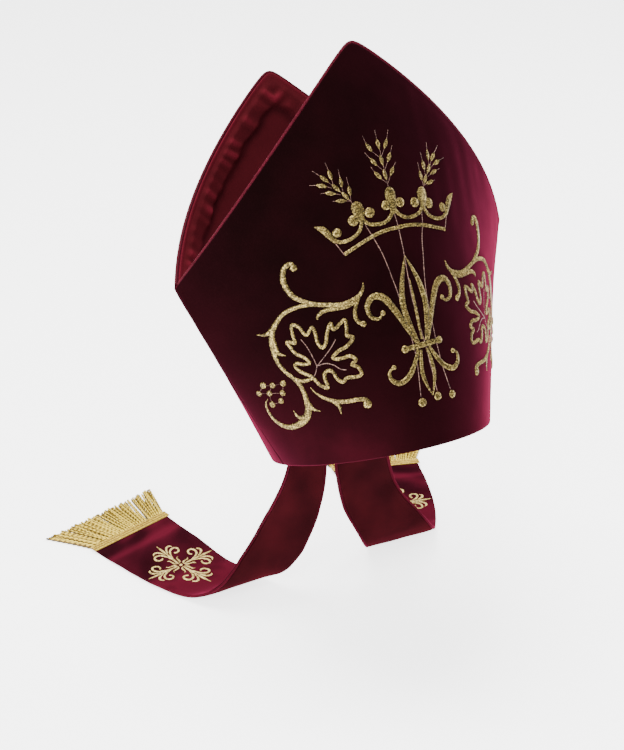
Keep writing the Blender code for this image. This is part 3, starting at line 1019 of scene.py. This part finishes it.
def add_fringe(side_name, side, gold):
    """Twisted strands side by side in three layers, each to its own length."""
    middle, across, ahead = fringe_frame()
    width = np.linalg.norm(across)
    sideways = across / width
    chance = np.random.default_rng(41 + side)
    rings, shades = [], []
    lateral = np.cos(np.linspace(0.0, 2 * math.pi, STRAND_SIDES, endpoint=False)) ** 2
    share = np.linspace(0.0, 1.0, STRAND_STEPS)
    spread = 1.0 + FRINGE_SPREAD / width * share
    drop = smooth_step(share / STRAND_DROP_SHARE)
    radius = STRAND_RADIUS * (1.0 - 0.15 * share)
    for layer in range(FRINGE_LAYERS):
        start_height = LAPPET_THICKNESS * (0.45 + 0.25 * layer)
        rest_height = STRAND_RADIUS * (1.15 + 0.7 * layer * (1.0 - 0.6 * share))
        height = start_height * (1.0 - drop) + rest_height * drop
        for strand in range(STRANDS):
            place = (2.0 * (strand + 0.5 + 0.5 * (layer % 2)) / STRANDS - 1.0) * width / 2
            place = np.clip(place + chance.normal(0.0, STRAND_JITTER), -width / 2, width / 2)
            lean = chance.normal(0.0, STRAND_LEAN)
            length = FRINGE_LENGTH * chance.uniform(*STRAND_LENGTHS)
            out = length * share
            bend = chance.normal(0.0, STRAND_BEND)
            bend = bend * np.sin(share * math.pi * chance.uniform(*STRAND_BEND_TURNS))
            drift = place * spread + lean * out * share + bend
            path = middle + np.outer(drift, sideways) + np.outer(out + CLEARANCE, ahead)
            path[:, 2] = -SURFACE_DROP + height
            turns = length / STRAND_TWIST
            rings.append(tube_rings(mirrored(path, side), radius, STRAND_SIDES, plies=2,
                                    depth=STRAND_GROOVE, turns=turns / 2))
            # Painted light on the strands: a highlight along the turns of the twist, lower layers darker
            # as in the shade of those above, and each strand darker at its sides; the rest is random tone
            twist = 0.5 + 0.5 * np.sin(share * 2 * math.pi * turns + chance.uniform(0.0, 6.0))
            strand_shade = 0.2 * layer ** 2 + chance.uniform(-0.3, 0.3) + 0.9 * twist
            shades.append(strand_shade[:, None] + 0.25 - 1.5 * lateral)
    made = bars(side_name + "_fringe_strands", rings, gold, shades)
    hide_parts(side_name + "_fringe")
    return made


# Embroidery. The points are pixels of the photograph, most with a width in millimetres. The
# scroll, the crown's side and the side ear are read on the left half, and the right half is
# their mirror image on the panel. What is in the middle is read as it is.

SCROLL = {
    "hook": (
        (293.3, 267.5, 3.5), (291.5, 264.5, 3.7), (287.5, 265, 4.1), (283.5, 270, 4.7), (283, 279, 5.1),
        (286, 288, 5.1), (293.5, 297, 4.5), (303, 301.5, 4.1), (315, 304.5, 3.9), (328.5, 305, 3.7),
        (342, 304.5, 3.7), (351, 301, 3.9), (358.5, 296, 3.5), (362.5, 289.5, 2.7), (363, 282.5, 0.8),
    ),
    "inner branch": (
        (317, 319.5, 1.4), (319, 314.5, 3.1), (325.5, 310.5, 3.7), (336.5, 308.5, 3.7), (346, 306.5, 3.7),
        (354, 302.5, 3.3), (359, 297.5, 2.2),
    ),
    "curl": ((359.5, 297, 2.0), (356, 305.5, 2.9), (355, 315, 3.5), (358, 321.5, 3.5), (363, 324, 3.5)),
    "stem": (
        (316.5, 305, 2.9), (304.5, 305.5, 3.5), (293.5, 308.5, 3.7), (284, 313.5, 3.9), (277.5, 321, 4.1),
        (272.5, 331, 5.1), (272, 342, 5.9), (274.5, 354, 4.9), (279, 364.5, 3.9), (286, 372.5, 3.7),
        (293.5, 378.5, 3.9), (300.5, 385.5, 4.3), (304.5, 394, 4.5), (307, 402, 5.3), (308.5, 409.5, 6.3),
        (306.5, 417.5, 6.7), (300.5, 423.5, 6.1), (292, 427, 5.1), (283, 425.5, 4.3), (275, 420, 3.5),
        (269, 412, 2.7), (266, 404, 1.8), (268, 399, 0.6),
    ),
    "outer thorn": ((272.5, 329.5, 4.7), (265.5, 335, 3.1), (256.5, 335, 0.4)),
    "inner thorn": ((273.5, 343, 5.3), (278, 353, 3.7), (286, 356, 0.4)),
    "leaf stalk": ((295.5, 379.5, 3.1), (303, 381, 3.5), (309.5, 379.5, 3.3), (313.5, 377, 2.5)),
    "low thorn": ((307.5, 402.5, 4.7), (313.5, 409, 3.1), (321, 411.5, 0.4)),
    "curl thorn": ((305.5, 417.5, 4.7), (298.5, 417, 2.9), (293.5, 410.5, 0.6)),
    "low scroll": (
        (310.5, 387.5, 0.6), (316.5, 393.5, 1.8), (325.5, 398.5, 3.1), (336.5, 401.5, 3.7),
        (347, 401.5, 3.7), (358, 399.5, 3.5), (365, 399.5, 4.1), (368, 402.5, 4.7),
    ),
    "scroll thorn": ((331, 400, 2.5), (339, 406, 3.5), (341.5, 414.5, 0.4)),
}
LEAF_OUTLINE = (
    (313.5, 377.5), (307, 374.5), (299.5, 371), (295, 366), (297, 363.5), (303.5, 364.5),
    (309.5, 362.5), (304, 357.5), (296, 354), (290, 347), (287, 342), (295, 343), (293, 336),
    (291.5, 325.5), (299, 327.5), (306, 335), (312, 327.5), (315.5, 334.5), (317.5, 342.5),
    (322.5, 347.5), (326, 342.5), (327, 332.5), (330.5, 323.5), (334, 329.5), (344, 320),
    (346.5, 327), (347, 335.5), (353, 337.5), (347, 346), (338.5, 351), (333, 357), (336, 359),
    (343, 358), (350, 356), (356, 359.5), (352, 364.5), (358, 367), (361.5, 373), (358, 376.5),
    (347, 378), (343, 382), (337, 378.5), (333.5, 372.5), (328.5, 370.5), (324.5, 374),
    (325.5, 380.5), (328, 387.5), (321.5, 386), (316.5, 381.5), (313.5, 377.5),
)
LEAF_WIDTH = 3.5
LEAF_VEINS = (
    ((317, 366), (312.5, 356.5), (307, 347), (301, 339.5)),
    ((317, 366), (325, 356), (331.5, 347), (335.5, 339.5)),
    ((317, 366), (325.5, 363.5), (333.5, 365), (340.5, 369), (346.5, 370)),
    ((317, 366), (316, 372), (314, 376.5)),
)
VEIN_WIDTH = 0.8
# Small rounds: the middle, and the width in millimetres
SCROLL_ROUNDS = (
    (293.3, 268, 5.5), (363.5, 324, 4.6), (367.5, 404, 6.6),
    (263, 385.5, 5.5), (272.5, 385.5, 4.9), (283, 383.5, 5.1), (259, 393.5, 4.9),
    (269.5, 393.5, 4.9), (282.5, 393, 4.9), (281, 401, 4.9), (272.5, 404.5, 5.5),
)
GRAPE_LINKS = (
    ((263, 385.5), (272.5, 385.5), (283, 383.5)), ((259, 393.5), (269.5, 393.5), (282.5, 393)),
    ((263, 385.5), (259, 393.5)), ((272.5, 385.5), (269.5, 393.5), (272.5, 404.5)),
    ((283, 383.5), (282.5, 393), (281, 401), (272.5, 404.5)),
)
CROWN_STROKES = {
    "band": (
        (344.5, 254.5, 3.1), (359.5, 244.5, 3.1), (374, 235.5, 3.1), (388.5, 229.5, 3.1),
        (402, 226.5, 3.1),
    ),
    "first arch": (
        (334.5, 239, 2.2), (337.5, 241.5, 2.9), (343, 242, 3.1), (352, 238.5, 3.1), (359.5, 231, 3.1),
        (362, 220.5, 3.4),
    ),
    "second arch": (
        (362.5, 219, 3.1), (368, 223.5, 3.1), (375.5, 224.5, 3.1), (384.5, 222.5, 3.1),
        (390.5, 216.5, 3.1), (393, 209, 3.1),
    ),
    "trefoil": (
        (363, 223, 3.4), (361.3, 218.5, 6.4), (359.8, 215.5, 9.0), (357.5, 209, 10.2),
        (355.5, 204.5, 8.4), (354.5, 202, 2.5),
    ),
    "tip": ((314.5, 227.5, 0.8), (322.5, 230, 5.4), (329.5, 236, 5.4), (335.5, 242.5, 2.6)),
}
CROWN_SIDE_LINE = ((335.5, 243.5), (344.5, 255))
CROWN_ROUNDS = ((353.3, 220.7, 8.2), (369.6, 212.5, 7.8), (337, 233, 7.0))
MIDDLE_TREFOIL = (
    (393.5, 214, 3.4), (392.7, 209, 6.0), (391.7, 203.5, 8.6), (390.2, 195, 9.8),
    (389.2, 189.5, 7.8), (388.8, 187, 2.5),
)
MIDDLE_ROUNDS = ((385.9, 205.2, 7.4), (399.9, 202.1, 7.4))
DROP_LINES = (
    ((365, 224.5), (375, 240.5), (383.5, 256), (393, 279.5), (402, 304.5), (410, 332.5),
     (416.5, 358.5), (421, 397)),
    ((394.5, 214), (398.5, 228), (401.5, 241.5), (404, 253), (409, 281), (413.5, 303),
     (424, 339.5), (437, 391)),
    ((421.5, 211), (422.5, 223), (422, 236.5), (423, 253), (426, 289.5), (434, 331),
     (441.5, 363), (450, 389)),
)
DROP_ROUNDS = ((422.5, 402.5, 6.8), (437.8, 396, 6.4), (452, 394, 6.2))
# Grains of an ear: the foot of its thread, its middle, and the tip of its awn if it has one
SIDE_STEM = ((353, 205), (350, 200.5), (340, 191.5), (331.5, 185))
SIDE_GRAINS = (
    ((333.5, 186), (330, 175), (325, 162.5)), ((343.5, 194), (341, 182.5), (338, 169)),
    ((351, 201.5), (349.5, 190.5), (346.5, 177)), ((331.5, 185), (324, 179), (312, 171)),
    ((341, 192.5), (336, 188), None), ((351, 201.5), (345.5, 196), None),
    ((331.5, 188), (321.5, 186), (309.5, 185.5)), ((341, 195), (330.5, 193.5), (321, 193.5)),
    ((350.5, 201), (341, 201), (333, 201.5)),
)
MIDDLE_STEM = ((388.5, 188), (387, 181), (384, 168), (380, 151))
MIDDLE_GRAINS = (
    ((379, 157), (369, 147.5), (362.5, 136)), ((382.5, 170), (373.5, 162), (364.5, 152.5)),
    ((387, 183), (378, 175.5), (371, 167)), ((380, 151), (378, 144), (374.5, 130)),
    ((384, 168), (381.5, 160), None), ((387, 181), (385, 174.5), None),
    ((381.5, 156), (385.5, 143.5), (388, 130)), ((385, 170), (389, 157), (392, 145.5)),
    ((388, 183), (392, 171), (395.5, 162)),
)
GRAIN_LENGTH = 8.4 * MM
GRAIN_WIDTH = 4.0 * MM
GRAIN_PROFILE = ((-1.0, 0.08), (-0.55, 0.72), (0.0, 1.0), (0.55, 0.72), (1.0, 0.08))

# Where a motif's mirror line is on the panel, and how much higher its right half sits: a slant,
# and a rise that grows with the square of the way from the middle
Half = namedtuple("Half", "middle turn rise")
SCROLL_HALF = Half(0.0027, 0.035, 0.0)
CROWN_HALF = Half(0.0015, 0.01, 0.9)
EAR_HALF = Half(0.0015, 0.01, 0.0)
FULLNESS = 1.1
STITCH = 0.00055
STITCH_DOME = 0.0009
SUNK = 0.0003
RIBBON_POINTS = 7
DOME_SHARES = (1.0, 0.86, 0.6, 0.3, 0.06)
STALK_SHARE = 0.9
THREAD_WIDTH = 0.75
LINK_WIDTH = 0.34
AWN_WIDTH = 0.42
FRAME_STEP = 0.0005
STITCH_CLUSTER = 6


def frame_from(at, x, y):
    """Points and normals of a surface that a function of two places gives."""
    along_x = at(x + FRAME_STEP, y) - at(x - FRAME_STEP, y)
    along_y = at(x, y + FRAME_STEP) - at(x, y - FRAME_STEP)
    return at(x, y), unit(np.cross(along_x, along_y))


def front_point(x, z):
    return tilted(horn_point(FRONT, x / half_width(z), z, -relief(FRONT, x, z)))


def front_frame(places):
    """Points and normals of the front velvet at upright places (x, z)."""
    return frame_from(front_point, places[:, 0], places[:, 1])


def grid_tree(points):
    """A grid of points as a surface that a pixel's ray can hit."""
    index = np.arange(points.shape[0] * points.shape[1]).reshape(points.shape[:2])
    return BVHTree.FromPolygons(points.reshape(-1, 3).tolist(), quads(index).tolist())


def seen_at(tree, x, y):
    start, way = pixel_ray(x, y)
    return np.array(tree.ray_cast(start, way)[0])


class PanelFinder:
    """Finds the upright places on the front panel under pixels of the photograph."""

    def __init__(self):
        u, v = np.meshgrid(np.linspace(-0.999, 0.999, 81), np.linspace(0.0, 1.0, 61))
        self.tree = grid_tree(tilted(column_point(FRONT, u, edge_height(u) * v)))

    def place(self, x, y):
        found = tilted(seen_at(self.tree, x, y), -1.0)
        return found[0], found[2]

    def line(self, points, width=None):
        """Pixels with widths in millimetres, or with one width, as places and widths in metres."""
        found = []
        for point in points:
            broad = point[2] * FULLNESS if width is None else width
            found.append((*self.place(*point[:2]), broad * MM))
        return np.array(found)

    def lines(self, group, width=None):
        return [self.line(points, width) for points in group]


def stitch_shades(count, chance):
    """A shade for each stitch, in loose clusters of light and dark."""
    places = np.arange(0, count + STITCH_CLUSTER, STITCH_CLUSTER)
    clusters = np.interp(np.arange(count), places, chance.uniform(0.0, 1.0, len(places)))
    own = np.repeat(chance.uniform(0.0, 1.0, count // 2 + 1), 2)[:count]
    return 0.45 * clusters + 0.55 * own


def ribbon(frame_of, line, chance):
    """A satin-stitched stroke: line holds places and widths in metres, a step per half stitch."""
    point, normal = frame_of(line[:, :2])
    along = unit(np.gradient(point, axis=0))
    aside = unit(np.cross(normal, along))
    count = len(line)
    shades = stitch_shades(count, chance)
    is_ridge = np.arange(count) % 2 == 0
    ridge = np.where(is_ridge, 0.85 + 0.3 * shades, 0.5)
    ragged = 1.0 + chance.normal(0.0, 0.04, count)
    half = line[:, 2] / 2 * np.where(is_ridge, 1.0, 0.92) * ragged
    dome = np.minimum(STITCH_DOME, 0.15 * MM + 0.42 * half)
    turn = np.linspace(-1.0, 1.0, RIBBON_POINTS)[None, :]
    rise = np.sqrt(1.0 - turn * turn)
    lift = rise * (dome * ridge)[:, None] - SUNK * (1.0 - rise)
    ring = point[:, None] + aside[:, None] * (turn * half[:, None])[..., None]
    # Painted shade: the hollows between stitches and the stroke's sides darker
    shades = (shades * np.where(is_ridge, 1.0, 0.55))[:, None] - 0.5 * np.abs(turn) ** 3
    return ring + normal[:, None] * lift[..., None], shades


def dome_rings(frame_of, place, width):
    """A round worked in stitches from its middle, as rings from the rim to the top."""
    radius = width / 2
    around = max(int(2 * math.pi * radius / STITCH) * 2, 12)
    angle = np.linspace(0.0, 2 * math.pi, around, endpoint=False)
    ribs = np.where(np.arange(around) % 2 == 0, 1.0, 0.7)
    point, normal = frame_of(np.array([place, place]))
    point, normal = point[0], normal[0]
    aside = unit(np.cross([0.0, 0.0, 1.0], normal))
    above = np.cross(normal, aside)
    rings = []
    for share in DOME_SHARES:
        reach = radius * share * np.where(ribs == 1.0, 1.0, 0.96)
        rise = math.sqrt(max(1.0 - share * share, 0.0))
        lift = rise * STITCH_DOME * 1.15 * ribs - SUNK * (1.0 - rise)
        flat = np.outer(reach * np.cos(angle), aside) + np.outer(reach * np.sin(angle), above)
        rings.append(point + flat + np.outer(lift, normal))
    # Painted shade: the round darker at its rim, lighter toward its top
    return np.array(rings), np.linspace(0.3, 0.6, len(rings))


def other_half(line, half):
    """The mirror image on the right half of the panel."""
    x = 2 * half.middle - line[:, 0]
    z = line[:, 1] + half.turn * (x - line[:, 0]) + half.rise * (x - half.middle) ** 2
    return np.column_stack([x, z, line[:, 2]])


def other_halves(lines, half):
    return [other_half(line, half) for line in lines]


def stitched(name, lines, rounds, gold, frame_of=front_frame):
    chance = np.random.default_rng(len(lines) + 7 * len(name))
    made = [ribbon(frame_of, curve_through(line, STITCH / 2), chance) for line in lines]
    made += [dome_rings(frame_of, spot[:2], spot[2]) for line in rounds for spot in line]
    rings, shades = zip(*made)
    return bars(name, rings, gold, shades)


def ear(finder, stem, grains):
    """An ear of wheat, its grains and its threads: a stem, a stalk for each grain, and awns."""
    threads, bodies = [finder.line(stem, LINK_WIDTH)], []
    for foot, middle, tip in grains:
        foot, middle = np.array(finder.place(*foot)), np.array(finder.place(*middle))
        ahead = unit((middle - foot) if tip is None else np.array(finder.place(*tip)) - foot)
        reach = ahead * GRAIN_LENGTH / 2
        body = [(*(middle + reach * share), GRAIN_WIDTH * width) for share, width in GRAIN_PROFILE]
        bodies.append(np.array(body))
        ends = [(foot, middle - STALK_SHARE * reach)]
        if tip is not None:
            ends.append((middle + STALK_SHARE * reach, finder.place(*tip)))
        for start, end in ends:
            threads.append(np.array([(*start, LINK_WIDTH * MM), (*end, AWN_WIDTH * MM)]))
    return bodies, threads


# The generic ornament in the panel's middle: a lily, in millimetres from its own middle,
# for one side
LILY_MIDDLE = (0.0022, 0.0965)
LILY_STROKES = {
    "blade": (
        (0.0, 54, 0.6), (4.5, 42, 3.4), (8.6, 28, 5.4), (9.8, 14, 5.8), (7.0, -2, 4.8), (3.6, -14, 3.0),
    ),
    "petal": (
        (5.0, -14, 2.6), (11, 0, 4.6), (17, 14, 6.0), (24, 26, 6.6), (32, 29, 6.0), (37.5, 23, 5.0),
        (36.5, 14.5, 4.0), (31, 11.5, 2.8), (27.5, 14.5, 1.4),
    ),
    "foot": (
        (5.0, -19, 2.6), (9.5, -28, 4.4), (16, -37, 5.4), (24, -41, 5.2), (30, -37.5, 4.2),
        (31, -31, 3.0), (27, -27.5, 1.6),
    ),
    "tail": ((0.0, -57, 0.6), (3.6, -47, 3.0), (5.2, -38, 4.0), (4.4, -29, 3.6), (2.6, -20, 2.4)),
}
LILY_MIDDLE_STROKES = {
    "rib": ((0, 36, 0.6), (0, 24, 2.4), (0, 6, 3.0), (0, -12, 2.2)),
    "band": ((-15.5, -16.5, 4.6), (0, -16.5, 5.2), (15.5, -16.5, 4.6)),
}
LILY_ROUNDS = ((15.5, -16.5, 6.6), (27, 15, 4.4), (27, -28, 4.2))


def lily_lines():
    both = [[(side * x, z, width) for x, z, width in points]
            for points in LILY_STROKES.values() for side in (-1, 1)]
    rounds = [(side * x, z, width) for x, z, width in LILY_ROUNDS for side in (-1, 1)]
    shift = np.array([*LILY_MIDDLE, 0.0])
    slanted = np.array([[1.0, SCROLL_HALF.turn, 0.0], [0.0, 1.0, 0.0], [0.0, 0.0, 1.0]])
    *lines, rounds = [np.array(points) * MM @ slanted + shift
                      for points in (*both, *LILY_MIDDLE_STROKES.values(), rounds)]
    return lines, rounds


def add_embroidery(gold, copper):
    finder = PanelFinder()
    lines = finder.lines(SCROLL.values()) + finder.lines([LEAF_OUTLINE], LEAF_WIDTH)
    veins = finder.lines(LEAF_VEINS, VEIN_WIDTH) + finder.lines(GRAPE_LINKS, LINK_WIDTH)
    rounds = finder.lines([SCROLL_ROUNDS])
    stitched("left_scroll", lines, rounds, gold)
    stitched("left_veins", veins, [], copper)
    lines, veins, rounds = (other_halves(group, SCROLL_HALF) for group in (lines, veins, rounds))
    stitched("right_scroll", lines, rounds, gold)
    stitched("right_veins", veins, [], copper)

    strokes = finder.lines(CROWN_STROKES.values())
    grains, threads = ear(finder, SIDE_STEM, SIDE_GRAINS)
    middle_grains, stalks = ear(finder, MIDDLE_STEM, MIDDLE_GRAINS)
    lines = strokes + other_halves(strokes, CROWN_HALF) + grains + other_halves(grains, EAR_HALF)
    lines += finder.lines([MIDDLE_TREFOIL]) + middle_grains
    rounds = finder.lines([CROWN_ROUNDS])
    rounds += other_halves(rounds, CROWN_HALF) + finder.lines([MIDDLE_ROUNDS])
    stitched("crown_and_wheat", lines, rounds, gold)
    side_line = finder.lines([CROWN_SIDE_LINE], THREAD_WIDTH)
    threads += other_halves(threads, EAR_HALF) + side_line + other_halves(side_line, CROWN_HALF)
    threads += stalks + finder.lines(DROP_LINES, THREAD_WIDTH)
    stitched("fine_threads", threads, [], copper)
    lily, lily_rounds = lily_lines()
    stitched("lily", lily, [lily_rounds, finder.line(DROP_ROUNDS)], gold)


# A cross on each lappet. An arm is in millimetres, across it and out from the middle, with a
# width; "both" strokes have a mirror image on its other side. Its directions are on the lappet.
CROSS_PIXEL = (177.7, 566.3)
CROSS_ACROSS = (0.94, 0.14)
CROSS_ALONG = (0.04, 0.95)
CROSS_ARM = {
    "stem": ((0, 3.6, 1.0), (0, 8, 2.4), (0, 14, 3.0), (0, 19, 3.0), (0, 23, 2.0)),
    "leaf": ((0, 22.5, 0.8), (0, 27, 2.8), (0, 32, 2.8), (0, 36, 1.8), (0, 39.5, 0.4)),
}
CROSS_ARM_BOTH = {
    "curl": (
        (1.2, 14.5, 1.2), (2.9, 20.2, 2.0), (5.6, 24.4, 2.5), (9.6, 26.4, 2.6), (13.2, 25.6, 2.6),
        (14.4, 22.4, 2.6), (12.6, 19.3, 2.4), (9.4, 18.7, 2.2), (7.3, 20.2, 1.8),
    ),
    "lobe": ((1.5, 22.4, 0.8), (3.4, 27.4, 2.2), (6.2, 30.9, 2.9), (9.8, 31.4, 2.4), (12.0, 29.2, 0.8)),
    "thorn": ((0.8, 4.0, 1.2), (3.2, 5.8, 2.2), (3.9, 9.4, 2.0), (4.5, 12.2, 1.5), (6.8, 13.5, 0.4)),
}
CROSS_MIDDLE_ROUND = (0, 0, 3.8)


def lappet_top(across, run, side):
    """Points on a lappet's velvet."""
    height = LAPPET_THICKNESS + lappet_wave(across, run, side)
    return mirrored(lappet_point(across, run, height), side)


def lappet_run_at(x, y):
    """How far along the left lappet a pixel of the photograph is."""
    lying = np.linspace(HANG_RUN + BEND_RUN, LAPPET_RUN, 121)
    u, run = np.meshgrid(np.linspace(-1.0, 1.0, 81), lying)
    points = lappet_top(u, run, -1)
    hit = seen_at(grid_tree(points), x, y)
    return run.ravel()[np.linalg.norm(points.reshape(-1, 3) - hit, axis=1).argmin()]


def lappet_frame(side):
    """Gives points and normals of a lappet's velvet, at places across and along it."""
    middle_run = lappet_run_at(*CROSS_PIXEL)

    def at(x, y):
        return lappet_top(x / lappet_half_width(middle_run + y), middle_run + y, side)

    def frame_at(places):
        point, normal = frame_from(at, places[:, 0], places[:, 1])
        return point, normal * np.sign(normal[:, 2:3])

    return frame_at


def add_cross(side_name, side, gold):
    strokes = [np.array(points) * MM for points in CROSS_ARM.values()]
    for points in CROSS_ARM_BOTH.values():
        strokes += [np.array(points) * MM, np.array(points) * MM * [-1.0, 1.0, 1.0]]
    lie = np.array([[*CROSS_ACROSS, 0.0], [*CROSS_ALONG, 0.0], [0.0, 0.0, 1.0]])
    lines = []
    for cos_q, sin_q in ((1, 0), (0, 1), (-1, 0), (0, -1)):
        turn = np.array([[cos_q, sin_q, 0.0], [-sin_q, cos_q, 0.0], [0.0, 0.0, 1.0]])
        lines += [points @ turn @ lie for points in strokes]
    middle = np.array([CROSS_MIDDLE_ROUND]) * MM
    return stitched(side_name + "_cross", lines, [middle], gold, lappet_frame(side))


def main():
    add_camera()
    add_floor()
    add_lights()
    velvet, satin, cord = (cloth_material(cloth) for cloth in (VELVET, SATIN, CORD))
    gold, pale_gold, braid, copper = (
        thread_material(thread) for thread in (GOLD, PALE_GOLD, BRAID, COPPER))
    for horn in (FRONT, BACK):
        add_panel(horn, velvet)
        add_piping(horn, cord)
    add_crown_lining(satin)
    for side_name, side in (("left", -1), ("right", 1)):
        add_seam_cord(side_name, side, cord)
        cloth = add_lappet_velvet(side_name, side, velvet)
        lining = add_lappet_lining(side_name, side, satin)
        trimmings = [
            add_heading(side_name, side, braid),
            add_fringe(side_name, side, braid),
            add_cross(side_name, side, pale_gold),
        ]
        declare_lappet(cloth, lining, trimmings)
    add_embroidery(gold, copper)


main()
